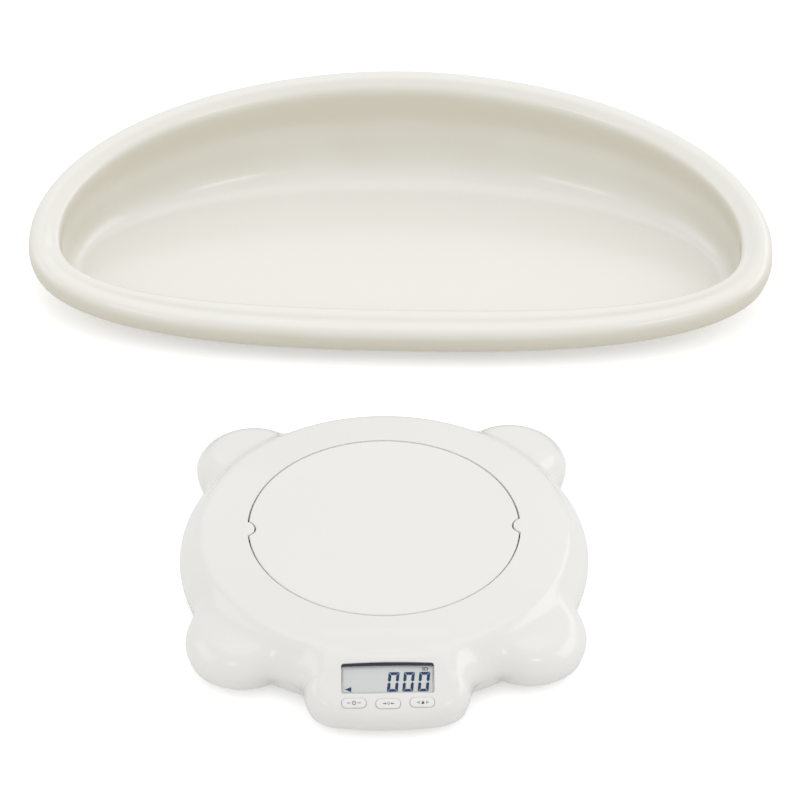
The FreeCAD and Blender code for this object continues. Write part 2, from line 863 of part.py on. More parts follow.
def make_load_cell_spacer():
    body = new_body("LoadCellSpacer")
    plate = new_sketch(body, offset="parting + seat_height")
    draw_rectangle(plate, "spacer_length", "beam_section", "(spacer_length - beam_length) / 2")
    pad(body, plate, "spacer_height")
    for x in lower_screw_expressions():
        hole = new_sketch(body)
        draw_circle(hole, "cell_screw_radius + screw_gap", x)
        feature = pocket(body, hole, BEAM_LOW, upwards=True)
    body.Tip = feature
    finish(body, "load_cell_spacer")


def make_strain_gauge_coats():
    """White sealing compound over the strain gauges on both thin sides of the beam."""
    over = block("GaugeCoatOver", "gauge_length", "beam_section", "gauge_thickness", z=BEAM_HIGH)
    under = block("GaugeCoatUnder", "gauge_length / 2", "beam_section", "gauge_thickness",
                  "gauge_length / 4", "0", f"{BEAM_LOW} - gauge_thickness")
    doc.recompute()
    finish(computed("StrainGaugeCoats", Part.makeCompound([over.Shape, under.Shape])), "strain_gauge_coats")


def make_load_cell_screws():
    low = "underside - screw_head_height"
    profile = screw_profile("cell_screw_radius", "2 * cell_screw_radius", low, "underside",
                            f"{BEAM_LOW} + beam_section / 2")
    pattern = turned_screw("LoadCellBaseScrew", profile)
    group_of_copies("load_cell_base_screws", pattern, upright([(x, 0) for x in lower_screw_places()]))
    high = "support_height + support_plate"
    profile = screw_profile("cell_screw_radius", "2 * cell_screw_radius", f"{BEAM_LOW} + beam_section / 2",
                            high, f"{high} + screw_head_height", head_below=False)
    pattern = turned_screw("LoadCellTopScrew", profile)
    group_of_copies("load_cell_top_screws", pattern,
                    upright([(evaluate(x), 0) for x in upper_screw_places()]))


# ---- display, board and keys: bodies drawn flat and then laid on the slope ----------------


def flat_plate(name, width, length, thickness, corner=None):
    body = new_body(name)
    sketch = new_sketch(body)
    draw_rectangle(sketch, width, length)
    body.Tip = pad(body, sketch, thickness)
    if corner:
        body.Tip = round_upright_edges(body, body.Tip, corner)
    return body


def make_display_window():
    body = flat_plate("DisplayWindow", "window_width", "window_length", "window_thickness", "window_corner")
    depth = size("window_thickness") + size("window_recess")
    body.Placement = on_head(0, size("window_down"), -depth)
    finish(body, "display_window")


def make_lcd_glass():
    body = flat_plate("LcdGlass", "lcd_width", "lcd_length", "lcd_thickness")
    body.Placement = on_head(0, size("window_down"), -size("cover_wall") - size("lcd_thickness"))
    finish(body, "lcd_glass")


def make_lcd_frame():
    """The frame that holds the glass between the panel and the board."""
    body = new_body("LcdFrame")
    outer = new_sketch(body)
    rim = "2 * lcd_frame_wall + fit_gap"
    draw_rectangle(outer, f"lcd_width + {rim}", f"lcd_length + {rim}")
    draw_rectangle(outer, "lcd_width + fit_gap", "lcd_length + fit_gap")
    body.Tip = pad(body, outer, "board_depth - cover_wall")
    body.Placement = on_head(0, size("window_down"), -size("board_depth"))
    finish(body, "lcd_frame")


def make_zebra_strip():
    """The elastic connector between the glass and the board."""
    height = "board_depth - cover_wall - lcd_thickness"
    body = flat_plate("ZebraStrip", "zebra_width", "zebra_depth", height)
    down = size("window_down") - size("lcd_length") / 2 + size("zebra_depth")
    body.Placement = on_head(0, down, -size("board_depth"))
    finish(body, "zebra_strip")


def make_main_board():
    body = new_body("MainBoard")
    outline = new_sketch(body)
    draw_rectangle(outline, "board_width", "board_length")
    pad(body, outline, "board_thickness")
    for side in ("-1", "1"):
        for end in ("-1", "1"):
            hole = new_sketch(body)
            draw_circle(hole, "small_pilot_radius + screw_gap",
                        f"{side} * (board_width / 2 - board_screw_inset)",
                        f"{end} * (board_length / 2 - board_screw_inset)")
            feature = pocket(body, hole, "2 * board_thickness", upwards=True)
    body.Tip = feature
    body.Placement = on_head(0, size("board_down"), -size("board_depth") - size("board_thickness"))
    finish(body, "main_board")


def make_controller_chip():
    """The weighing controller on the back of the board."""
    body = flat_plate("ControllerChip", "chip_side", "chip_side", "chip_height")
    depth = size("board_depth") + size("board_thickness") + size("chip_height")
    body.Placement = on_head(0, size("window_down"), -depth)
    finish(body, "controller_chip")


def make_board_screws():
    profile = screw_profile("small_pilot_radius", "small_head_radius", "-screw_head_height", "0",
                            "board_thickness + board_screw_bite")
    pattern = turned_screw("BoardScrew", profile)
    depth = size("board_depth") + size("board_thickness")
    group_of_copies("board_screws", pattern, [on_head(x, down, -depth) for x, down in board_screw_places()])


def make_key_switches():
    """Three tactile switches on the board, one under each key."""
    for name, (x, down) in zip(("left", "middle", "right"), key_places()):
        body = new_body(f"KeySwitch{name.title()}")
        base = new_sketch(body)
        draw_rectangle(base, "switch_side", "switch_side")
        pad(body, base, "switch_body")
        plunger = new_sketch(body)
        draw_circle(plunger, "switch_plunger_radius")
        body.Tip = pad(body, plunger, "switch_body + switch_plunger")
        body.Placement = on_head(x, down, -size("board_depth"))
        finish(body, f"key_switch_{name}")


def make_keys():
    """Each key is a cap through the panel, a flange that keeps it in, and a stem."""
    stem_end = "(board_depth - switch_body - switch_plunger - key_travel - fit_gap)"
    for name, (x, down) in zip(("on_off", "tare", "hold"), key_places()):
        body = new_body(f"Key{name.title().replace('_', '')}")
        cap = new_sketch(body, offset="-cover_wall - fit_gap")
        draw_rectangle(cap, "key_width", "key_length")
        first = pad(body, cap, "cover_wall + fit_gap + key_rise")
        round_upright_edges(body, first, "key_corner")
        flange = new_sketch(body, offset="-cover_wall - fit_gap - key_flange")
        draw_rectangle(flange, "key_width + 2 * key_flange_rim", "key_length + 2 * key_flange_rim")
        pad(body, flange, "key_flange")
        stem = new_sketch(body, offset=f"-{stem_end}")
        draw_circle(stem, "switch_plunger_radius")
        body.Tip = pad(body, stem, f"{stem_end} - cover_wall")
        body.Placement = on_head(x, down)
        finish(body, f"key_{name}")


# ---- feet, screws and battery bay -------------------------------------------------------


def make_feet():
    """Rubber feet under the paws, each pushed through the bottom cover."""
    barb = "parting + foot_barb_height"
    profile = [("0", "0"), ("foot_radius - foot_bevel", "0"), ("foot_radius", "foot_bevel"),
               ("foot_radius", "underside"),
               ("foot_neck_radius", "underside"), ("foot_neck_radius", "parting"),
               ("foot_barb_radius", "parting"), ("foot_neck_radius", barb), ("0", barb)]
    names = ("rear_left", "front_left", "rear_right", "front_right")
    for name, (x, y) in zip(names, foot_places()):
        body = turned_screw(f"Foot{name.title().replace('_', '')}", profile)
        body.Placement = Placement(Vector(x, y, 0), Rotation())
        finish(body, f"foot_{name}")


def make_case_screws():
    profile = screw_profile("pilot_radius", "2 * pilot_radius", "underside - screw_head_height", "underside",
                            "parting + case_screw_length")
    pattern = turned_screw("CaseScrew", profile)
    group_of_copies("case_screws", pattern, upright(boss_places()))


def cell_places():
    """Y of the four cells in the bay."""
    first = size("bay_behind") - size("cell_pitch") * (size("cell_count") - 1) / 2
    return [first + size("cell_pitch") * index for index in range(int(size("cell_count")))]


def cell_axis_height():
    return size("parting") + size("fit_gap") + size("cell_diameter") / 2


def make_batteries():
    """AAA cells, every second one turned round; each touches its flat contact."""
    radius = size("cell_diameter") / 2
    body_length = size("cell_length") - size("cell_nub_length")
    cells = []
    for index, y in enumerate(cell_places()):
        can = Part.makeCylinder(radius, body_length)
        can = can.makeChamfer(size("cell_edge"), can.Edges)
        nub = Part.makeCylinder(size("cell_nub_radius"), size("cell_nub_length"),
                                Vector(0, 0, body_length))
        cell = can.fuse(nub)
        side = 1 if index % 2 == 0 else -1
        tip = side * (size("bay_length") / 2 - size("contact_thickness"))
        start = Vector(tip - side * size("cell_length"), y, cell_axis_height())
        cell.Placement = Placement(start, Rotation(Vector(0, 0, 1), Vector(side, 0, 0)))
        cells.append(cell)
    finish(computed("Batteries", Part.makeCompound(cells)), "batteries")


def contact_plate(side, y):
    """One flat contact against an end wall of the bay."""
    thick = size("contact_thickness")
    x = size("bay_length") / 2 - thick if side > 0 else -size("bay_length") / 2
    low = cell_axis_height() - size("contact_height") / 2
    return Part.makeBox(thick, size("contact_width"), size("contact_height"),
                        Vector(x, y - size("contact_width") / 2, low))


def make_battery_contacts():
    plates = [contact_plate(1 if index % 2 == 0 else -1, y) for index, y in enumerate(cell_places())]
    finish(computed("BatteryContacts", Part.makeCompound(plates)), "battery_contacts")


SPRING_TURNS = 5
SPRING_SEAT = 0.8


def make_battery_springs():
    """Conical springs on their own plates, at the flat end of each cell."""
    wire = size("spring_wire")
    room = size("bay_length") - 2 * size("contact_thickness") - size("cell_length") - size("fit_gap")
    lead = (room - 2 * wire) / (SPRING_TURNS - 1)
    wide = size("contact_width") / 2 - wire
    springs = []
    for index, y in enumerate(cell_places()):
        side = -1 if index % 2 == 0 else 1
        face = side * (size("bay_length") / 2 - size("contact_thickness"))
        rings = []
        for turn in range(SPRING_TURNS):
            x = face - side * (SPRING_SEAT * wire + lead * turn)
            radius = wide - turn * wire
            rings.append(Part.makeTorus(radius, wire, Vector(x, y, cell_axis_height()), Vector(1, 0, 0)))
        springs.append(contact_plate(side, y).multiFuse(rings))
    finish(computed("BatterySprings", Part.makeCompound(springs)), "battery_springs")


def make_battery_door():
    """The door under the bay: a plate, two hinge tabs and a latch finger."""
    gap = size("fit_gap")
    low = size("underside")
    parting = size("parting")
    length = size("bay_length") - 2 * gap
    width = bay_width() - 2 * gap
    rear = size("bay_behind") + width / 2
    plate = Part.makeBox(length, width, parting - low, Vector(-length / 2, rear - width, low))
    thick = size("door_tab_thickness")
    pieces = []
    for side in (-1, 1):
        corner = Vector(side * size("door_tab_spacing") / 2 - size("door_tab_width") / 2,
                        rear - thick, parting)
        pieces.append(Part.makeBox(size("door_tab_width"), thick, gap + thick, corner))
        corner.z += gap
        pieces.append(Part.makeBox(size("door_tab_width"), thick + size("door_tab_reach"), thick, corner))
    front = rear - width
    finger = Part.makeBox(size("door_finger_width"), size("door_finger_thickness"),
                          size("door_finger_height"),
                          Vector(-size("door_finger_width") / 2, front + size("door_finger_setback"), parting))
    grip_setback = size("door_finger_setback") + size("door_finger_thickness")
    grip = Part.makeBox(size("door_grip_width"), size("door_grip_length"), (parting - low) / 2,
                        Vector(-size("door_grip_width") / 2, front + grip_setback, low))
    door = plate.multiFuse(pieces + [finger]).cut(grip).removeSplitter()
    finish(computed("BatteryDoor", door), "battery_door")


# ---- wires ------------------------------------------------------------------------------


# how much of the shorter run at a corner each wire's arc takes
ARC_SHARE = 0.45


def wire_tube(points, radius):
    """A tube of straight runs joined by tangent arcs."""
    spots = [Vector(*point) for point in points]
    edges = []
    start = spots[0]
    for before, corner, after in zip(spots, spots[1:], spots[2:]):
        into = (corner - before).normalize()
        away = (after - corner).normalize()
        turn = into.getAngle(away)
        shorter = min((corner - before).Length, (after - corner).Length)
        reach = ARC_SHARE * shorter
        bend = reach / math.tan(turn / 2)
        enter = corner - into * reach
        leave = corner + away * reach
        inward = (away - into).normalize()
        middle = corner + inward * (bend / math.cos(turn / 2) - bend)
        edges.append(Part.LineSegment(start, enter).toShape())
        edges.append(Part.Arc(enter, middle, leave).toShape())
        start = leave
    edges.append(Part.LineSegment(start, spots[-1]).toShape())
    path = Part.Wire(edges)
    direction = spots[1] - spots[0]
    section = Part.Wire(Part.Circle(spots[0], direction, radius).toShape())
    return path.makePipeShell([section], True, True)


def board_back(x, down):
    """A point just behind the circuit board."""
    depth = size("board_depth") + size("board_thickness") + size("fit_gap")
    return on_head(x, down, -depth).Base


def make_wires():
    """The wires of the battery bay and of the load cell, both along the floor to the board."""
    rest = size("parting") + size("wire_radius") + size("fit_gap")
    bay_side = -size("bay_length") / 2 - size("bay_wall") - size("fit_gap")
    bay_wire = [(bay_side, 62, rest + 3), (-50, 60, rest + 2), (-70, 35, rest + 1), (-76, -10, rest),
                (-70, -60, rest), (-52, -100, rest + 0.5), (-36, -130, rest + 3), (-30, -146, rest + 10),
                tuple(board_back(-29, 20))]
    finish(computed("BatteryWire", wire_tube(bay_wire, size("wire_radius"))), "battery_wire")
    beam_side = -size("beam_section") / 2 - size("fit_gap")
    cell_wire = [(-8, beam_side, rest + 9), (-8, beam_side - 16, rest + 7), (2, -48, rest + 1.5),
                 (12, -85, rest), (14, -118, rest + 0.5), (18, -142, rest + 9), tuple(board_back(20, 20))]
    finish(computed("LoadCellWire", wire_tube(cell_wire, size("wire_radius"))), "load_cell_wire")


# ---- tray -------------------------------------------------------------------------------


def oval(turn, half_width, front, back, widest, front_fullness, back_fullness):
    """A point of an egg-shaped outline; a fullness of 2 is an ellipse, more is squarer."""
    across = math.cos(turn)
    along = math.sin(turn)
    fullness = front_fullness if along < 0 else back_fullness
    depth = widest + front if along < 0 else back - widest
    x = half_width * math.copysign(abs(across) ** (2 / fullness), across)
    y = widest + depth * math.copysign(abs(along) ** (2 / fullness), along)
    return x, y


RIM_FULLNESS = (2.58, 1.93)
FLOOR_FULLNESS = (2.6, 2.1)
WALL_CURVE = 2.8
WALL_STEPS = (0.0, 0.15, 0.3, 0.45, 0.6, 0.75, 0.88)
RIM_SWELL = 1.5
BAND_STEP = 0.35
# the rolled rim's own points: shares of its inset and of its drop
RIM_ROLL = ((1.5, 0.2), (1.0, 0.0))
LIP_ROLL = ((0.25, 0.2), (0.0, 0.5))


def rim_point(turn, inset, drop):
    """A point of the rim: inset from the outermost line, drop below the crest."""
    x, y = oval(turn, size("tray_width") / 2 - inset, size("tray_front") - inset,
                size("tray_back") - inset, -size("tray_widest"), *RIM_FULLNESS)
    share = (y + size("tray_front")) / (size("tray_front") + size("tray_back"))
    crest = size("tray_crest_front") + (size("tray_crest_back") - size("tray_crest_front")) * share
    return Vector(x, y, crest - drop)


def floor_point(turn):
    x, y = oval(turn, size("floor_width") / 2, size("floor_front"), size("floor_back"),
                -size("floor_widest"), *FLOOR_FULLNESS)
    return Vector(x, y, size("tray_floor"))


def inner_edge_point(turn):
    """The rim's inner edge: the rim is broad and low at the front, narrow at the back."""
    ahead = ((1 - math.sin(turn)) / 2) ** RIM_SWELL
    width = size("tray_rim_width") + (size("tray_front_rim_width") - size("tray_rim_width")) * ahead
    drop = size("tray_rim_drop") + (size("tray_front_rim_drop") - size("tray_rim_drop")) * ahead
    return rim_point(turn, width, drop)


def wall_point(turn, share):
    """A point of the inner wall, from the floor at 0 to the rim at 1."""
    low = floor_point(turn)
    high = inner_edge_point(turn)
    spot = low + (high - low) * share
    spot.z = low.z + (high.z - low.z) * share ** WALL_CURVE
    return spot


def tray_section(turn):
    """The upper skin at one turn: floor edge, wall, rolled rim and outer lip."""
    inset = size("tray_rim_inset")
    lip_drop = size("tray_lip_drop")
    points = [wall_point(turn, share) for share in WALL_STEPS]
    roll = [rim_point(turn, inset * inward, size("tray_rim_drop") * down) for inward, down in RIM_ROLL]
    edge = inner_edge_point(turn)
    points.append(edge)
    points.append(edge + (roll[0] - edge) * BAND_STEP)
    points.extend(roll)
    for inward, down in LIP_ROLL:
        points.append(rim_point(turn, inset * inward, lip_drop * down))
    points.append(rim_point(turn, size("tray_lip_inset"), lip_drop))
    return points


def under_section(turn):
    """The lower skin: the upper skin moved along its normal by the wall's thickness."""
    small = 0.001
    here = tray_section(turn)
    ahead = tray_section(turn + small)
    behind = tray_section(turn - small)
    moved = []
    last = len(here) - 1
    for index, point in enumerate(here):
        if index == 0:
            moved.append(point - Vector(0, 0, size("tray_wall")))
            continue
        along = here[min(index + 1, last)] - here[index - 1]
        around_rim = ahead[index] - behind[index]
        normal = around_rim.cross(along).normalize()
        moved.append(point + normal * size("tray_wall"))
    return moved


def skin(section):
    """Half a skin, from the front over the right end to the back."""
    steps = 28
    turns = [-math.pi / 2 + math.pi * step / steps for step in range(steps + 1)]
    grid = [section(turn) for turn in turns]
    for end in (0, -1):
        for point in grid[end]:
            point.x = 0
    surface = Part.BSplineSurface()
    surface.interpolate(grid)
    return surface


def tray_shell_solid():
    upper = skin(tray_section)
    lower = skin(under_section)
    first, last = upper.bounds()[2:]
    faces = []
    floor_edges = {}
    for name, surface in (("upper", upper), ("lower", lower)):
        faces.append(surface.toShape())
        floor_edges[name] = surface.vIso(first).toShape()
    lip = Part.makeRuledSurface(upper.vIso(last).toShape(), lower.vIso(last).toShape())
    faces.append(lip)
    mirrored = [face.mirror(Vector(0, 0, 0), Vector(1, 0, 0)) for face in faces]
    for edge in floor_edges.values():
        outline = Part.Wire([edge, edge.mirror(Vector(0, 0, 0), Vector(1, 0, 0))])
        mirrored.append(Part.Face(outline))
    shell = Part.Shell(faces + mirrored)
    shell.sewShape()
    solid = Part.Solid(shell)
    if solid.Volume < 0:
        solid.reverse()
    return solid


def tray_foot_places():
    middle = -size("tray_foot_centre")
    return [(side * size("tray_foot_across"), middle + end * size("tray_foot_spread"))
            for side in (-1, 1) for end in (-1, 1)]


def tray_placement():
    spot = Vector(size("tray_stand_x"), size("tray_stand_y"), 0)
    return Placement(spot, Rotation(Vector(0, 0, 1), size("tray_stand_turn")))


def make_tray():
    shell = tray_shell_solid()
    pad_top = size("tray_pad")
    overlap = size("tray_wall") / 2
    height = size("tray_floor") - size("tray_wall") - pad_top + overlap
    feet = [Part.makeCylinder(size("tray_foot_radius"), height, Vector(x, y, pad_top))
            for x, y in tray_foot_places()]
    shell = shell.multiFuse(feet)
    finish(computed("TrayShell", shell, tray_placement()), "tray_shell")
    pads = [Part.makeCylinder(size("tray_foot_radius") - size("tray_pad_setback"), pad_top, Vector(x, y, 0))
            for x, y in tray_foot_places()]
    finish(computed("TrayPads", Part.makeCompound(pads), tray_placement()), "tray_pads")


# ---- the whole scale --------------------------------------------------------------------


def check(thing):
    state = [word for word in thing.State if word in ("Invalid", "Error")]
    if state:
        raise RuntimeError(f"{thing.Label}: {state}")


def main():
    make_top_cover()
    make_bottom_cover()
    make_platform_disc()
    make_platform_support()
    make_platform_screws()
    make_overload_stops()
    make_load_cell_beam()
    make_load_cell_spacer()
    make_strain_gauge_coats()
    make_load_cell_screws()
    make_display_window()
    make_lcd_glass()
    make_lcd_frame()
    make_zebra_strip()
    make_main_board()
    make_controller_chip()
    make_board_screws()
    make_key_switches()
    make_keys()
    make_feet()
    make_case_screws()
    make_batteries()
    make_battery_contacts()
    make_battery_springs()
    make_battery_door()
    make_wires()
    make_tray()
    doc.recompute()
    for thing in doc.Objects:
        check(thing)
    os.makedirs("parts", exist_ok=True)
    for thing in sub_parts:
        if thing.Shape.isNull() or not thing.Shape.isValid():
            raise RuntimeError(f"{thing.Label}: the shape is not valid")
    for thing in sub_parts:
        thing.Shape.exportStep(f"parts/{thing.Label}.step")
        print(f"{thing.Label}: {len(thing.Shape.Solids)} solid(s), {thing.Shape.Volume / 1000:.2f} cm3")


main()
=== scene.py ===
"""The looks of a digital baby scale: a round weighing base and, behind it, its long tray.

Lengths are written in millimetres and turned into metres when a mesh is made.
"""

import json
import math

import bmesh
import bpy
import numpy as np
from mathutils import Matrix, Vector


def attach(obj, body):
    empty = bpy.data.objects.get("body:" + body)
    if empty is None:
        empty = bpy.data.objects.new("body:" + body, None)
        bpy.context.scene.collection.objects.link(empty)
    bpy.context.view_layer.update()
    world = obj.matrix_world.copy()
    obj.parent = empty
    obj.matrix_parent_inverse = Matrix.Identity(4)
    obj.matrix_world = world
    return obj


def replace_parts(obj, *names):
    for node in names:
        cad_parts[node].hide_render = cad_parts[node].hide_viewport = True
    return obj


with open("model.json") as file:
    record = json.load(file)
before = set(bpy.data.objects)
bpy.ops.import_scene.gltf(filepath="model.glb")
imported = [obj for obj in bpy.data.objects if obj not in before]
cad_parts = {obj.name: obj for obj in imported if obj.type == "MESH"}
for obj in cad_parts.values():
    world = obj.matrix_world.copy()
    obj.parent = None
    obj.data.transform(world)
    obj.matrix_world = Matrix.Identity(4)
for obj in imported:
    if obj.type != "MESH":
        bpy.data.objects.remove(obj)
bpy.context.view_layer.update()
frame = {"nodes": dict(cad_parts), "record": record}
MM = 0.001

# ---- driving dimensions: the main ones are the part's, gaps and roundings the scene's own ----

PARTING = 8.0
BODY_RADIUS = 154.5
WIDEST_HEIGHT = 27.0
FOOT_INSET = 4.0
RING_RADIUS = 140.0
RING_EDGE_HEIGHT = 49.6
RING_INNER_HEIGHT = 55.5
OPENING_RADIUS = 102.7
COVER_WALL = 2.5
COLLAR_LOW = 44.5
TAB_RADIUS = 8.6
TAB_REACH = 5.4
TAB_DEPTH = 4.0
REAR_PAW = dict(across=101.5, along=108.0, radius=40.0, height=45.0, tilt=0.15)
FRONT_PAW = dict(across=107.5, along=-91.0, radius=43.0, height=43.5, tilt=0.26)
PAW_ROUND = 16.0
HEAD_HALF_WIDTH = 62.5
HEAD_REACH = 181.5
HEAD_BOW = 230.0
HEAD_CORNER = 27.0
HEAD_SLOPE = math.radians(30)
HEAD_ROUND = 12.0
HEAD_SIDE_ROUND = 20.0
HEAD_BEND = 36.0
PLATFORM_GAP = 0.9
PLATFORM_TOP = 56.0
# how far the seen plate lies below the part's, so that the cover's edge shows in front
PLATFORM_DIP = 0.5
PLATFORM_ROUND = 1.0
PLATFORM_PLATE = 3.0
PLATFORM_SKIRT = 10.0
POST_RADIUS = 6.0
POST_CIRCLE = 80.0
POST_SIDES = 32
SUPPORT_TOP = 36.0
WINDOW = dict(width=68.6, length=24.1, corner=1.8, down=17.95, thick=1.5, recess=0.2, ledge=1.5)
KEY = dict(width=18.0, length=7.4, corner=3.4, rise=0.9, gap=0.2)
KEY_SPACING = 25.2
KEY_DOWN = 38.4
KEY_ARC = 0.8

# ---- small mathematical helpers ----

def smooth_max(first, second, reach):
    """The larger of two distances, with the edge between them softened over a reach."""
    near = np.maximum(reach - np.abs(first - second), 0) / reach
    return np.maximum(first, second) + near**3 * reach / 6


def round_max(first, second, radius, cosine=0.0):
    """The larger of two distances, with the edge between them rounded to a radius.

    cosine is that of the angle between the directions in which the two grow.
    """
    one = first + radius
    other = second + radius
    in_corner = (one > cosine * other) & (other > cosine * one)
    square = np.maximum(one * one + other * other - 2 * one * other * cosine, 0)
    rounded = np.sqrt(square / (1 - cosine * cosine)) - radius
    return np.where(in_corner, rounded, np.maximum(first, second))


def smooth_step(value):
    """0 below 0, 1 above 1, and a soft climb between them."""
    value = np.clip(value, 0, 1)
    return value * value * (3 - 2 * value)


def spline(knots, places):
    """Natural cubic splines, one for each column of points, read at shares 0 to 1 of its length."""
    knots = np.asarray(knots, float)
    count, columns = knots.shape[:2]
    gaps = np.linalg.norm(np.diff(knots, axis=0), axis=-1)
    stops = np.concatenate([np.zeros((1, columns)), np.cumsum(gaps, axis=0)])
    system = np.zeros((columns, count, count))
    system[:, 0, 0] = 1
    system[:, -1, -1] = 1
    target = np.zeros_like(knots)
    for row in range(1, count - 1):
        before = gaps[row - 1]
        after = gaps[row]
        system[:, row, row - 1] = before
        system[:, row, row] = 2 * (before + after)
        system[:, row, row + 1] = after
        climb = (knots[row + 1] - knots[row]) / after[:, None]
        target[row] = 6 * (climb - (knots[row] - knots[row - 1]) / before[:, None])
    bends = np.linalg.solve(system, target.transpose(1, 0, 2)).transpose(1, 0, 2)
    rows = []
    every = np.arange(columns)
    for place in places:
        spot = place * stops[-1]
        index = np.clip((stops <= spot).sum(axis=0) - 1, 0, count - 2)
        gap = gaps[index, every][:, None]
        left = (stops[index + 1, every] - spot)[:, None]
        right = (spot - stops[index, every])[:, None]
        low = bends[index, every]
        high = bends[index + 1, every]
        row = low * left**3 / (6 * gap) + high * right**3 / (6 * gap)
        row += (knots[index, every] / gap - low * gap / 6) * left
        row += (knots[index + 1, every] / gap - high * gap / 6) * right
        rows.append(row)
    return np.array(rows)


# ---- mesh helpers ----


MERGE_DISTANCE = 1e-4
FLAT_DISTANCE = 1e-5


def add_object(name, data):
    holder = bpy.data.objects.new(name, data)
    bpy.context.scene.collection.objects.link(holder)
    return holder


def object_from(name, mesh):
    """A new object that takes over a bmesh."""
    data = bpy.data.meshes.new(name)
    mesh.to_mesh(data)
    mesh.free()
    return add_object(name, data)


def smooth(data, angle):
    """Smooth shading, with sharp edges where faces meet at more than an angle in degrees."""
    data.polygons.foreach_set("use_smooth", [True] * len(data.polygons))
    data.set_sharp_from_angle(angle=math.radians(angle))


def make_piece(name, mesh, body, material, smooth_angle=35):
    """A finished object from a bmesh in millimetres, riding on a body."""
    bmesh.ops.remove_doubles(mesh, verts=mesh.verts, dist=MERGE_DISTANCE)
    bmesh.ops.dissolve_degenerate(mesh, edges=mesh.edges, dist=FLAT_DISTANCE)
    bmesh.ops.recalc_face_normals(mesh, faces=mesh.faces)
    bmesh.ops.scale(mesh, vec=(MM, MM, MM), verts=mesh.verts)
    piece = object_from(name, mesh)
    smooth(piece.data, smooth_angle)
    piece.data.materials.append(material)
    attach(piece, body)
    return piece


def add_loft(mesh, rows, ring=False, caps=(True, True)):
    """Joins closed rows of points with quads; a ring joins its last row to its first."""
    rows = np.asarray(rows, float)
    count, around = rows.shape[:2]
    verts = [[mesh.verts.new(point) for point in row] for row in rows]
    last = count if ring else count - 1
    for index in range(last):
        low = verts[index]
        high = verts[(index + 1) % count]
        for side in range(around):
            after = (side + 1) % around
            mesh.faces.new((low[side], low[after], high[after], high[side]))
    if not ring and caps[0]:
        mesh.faces.new(list(reversed(verts[0])))
    if not ring and caps[1]:
        mesh.faces.new(verts[-1])
    return verts


def circle_row(radius, height, sides, x, y):
    """A level circle of points about a place."""
    turns = np.linspace(0, 2 * math.pi, sides, endpoint=False)
    level = np.full(sides, height)
    return np.stack([x + radius * np.cos(turns), y + radius * np.sin(turns), level], -1)


def add_turned(mesh, profile, x, y, sides=48):
    """A solid turned about an upright axis from (radius, height) pairs."""
    add_loft(mesh, [circle_row(radius, height, sides, x, y) for radius, height in profile])


def rounded_outline(half_width, half_length, corner, steps=10):
    """A rectangle with rounded corners, counterclockwise, as (x, y) pairs."""
    points = []
    for quarter, (side_x, side_y) in enumerate(((1, 1), (-1, 1), (-1, -1), (1, -1))):
        for step in range(steps + 1):
            turn = math.pi / 2 * (quarter + step / steps)
            points.append((side_x * (half_width - corner) + corner * math.cos(turn),
                           side_y * (half_length - corner) + corner * math.sin(turn)))
    return np.array(points)


def on_head(points):
    """Points given as across, down the slope and out of it, in the frame of the model."""
    points = np.asarray(points, float)
    across, down, out = np.moveaxis(points, -1, 0)
    along = -RING_RADIUS - down * math.cos(HEAD_SLOPE) - out * math.sin(HEAD_SLOPE)
    height = RING_EDGE_HEIGHT - down * math.sin(HEAD_SLOPE) + out * math.cos(HEAD_SLOPE)
    return np.stack([across, along, height], -1)


def slab_rows(outline, levels, across, down):
    """Rows of a plate on the head: (inset, out) levels of an outline about a place."""
    rows = []
    middle = outline.mean(axis=0)
    away = outline - middle
    size = np.abs(away).max(axis=0)
    for inset, out in levels:
        shrunk = middle + away * (size - inset) / size
        flat = np.stack([across + shrunk[:, 0], down - shrunk[:, 1], np.full(len(shrunk), out)], -1)
        rows.append(on_head(flat))
    return rows


# ---- the moulded form of the housing, as signed distances ----

SIDE_FOOT_HEIGHT = 31.0
SHOULDER_SOFTNESS = 4.6
BEND_SOFTNESS = 9.0
PAW_CROWN = 1.5
REAR_PAW_WEB = 16.0
FRONT_PAW_WEB = 22.0
HEAD_WEB = 26.0
WEB_FADE = 14.0
HEAD_BEND_COSINE = 0.93
SLOPE_STEP = 0.01


def undercut(z):
    """How far the walls stand back below their widest line."""
    share = np.maximum(WIDEST_HEIGHT - z, 0) / (WIDEST_HEIGHT - PARTING)
    return FOOT_INSET * share**2


RING_PITCH = math.atan2(RING_INNER_HEIGHT - RING_EDGE_HEIGHT, RING_RADIUS - OPENING_RADIUS)


def ring_distance(x, y, z):
    """Distance above the ring's cone, which falls gently outwards."""
    outwards = np.hypot(x, y) - RING_RADIUS
    return (z - RING_EDGE_HEIGHT) * math.cos(RING_PITCH) + outwards * math.sin(RING_PITCH)


def dome_distance(x, y, z):
    """The round body: ring, leaning side and a wall that draws in below."""
    radius = np.hypot(x, y)
    lean = math.atan2(BODY_RADIUS - RING_RADIUS, RING_EDGE_HEIGHT - SIDE_FOOT_HEIGHT)
    side = (radius - BODY_RADIUS) * math.cos(lean) + (z - SIDE_FOOT_HEIGHT) * math.sin(lean)
    wall = radius - BODY_RADIUS + undercut(z)
    upper = smooth_max(ring_distance(x, y, z), side, SHOULDER_SOFTNESS)
    return smooth_max(upper, wall, BEND_SOFTNESS)


def paw_distance(x, y, z, across, along, radius, height, tilt):
    """A round paw whose slightly crowned top falls away from the ring."""
    away = np.hypot(x - across, y - along)
    outwards = np.hypot(x, y) - math.hypot(across, along)
    top = z - height + tilt * outwards + PAW_CROWN * (away / radius) ** 2
    return round_max(away - radius + undercut(z), top, PAW_ROUND)


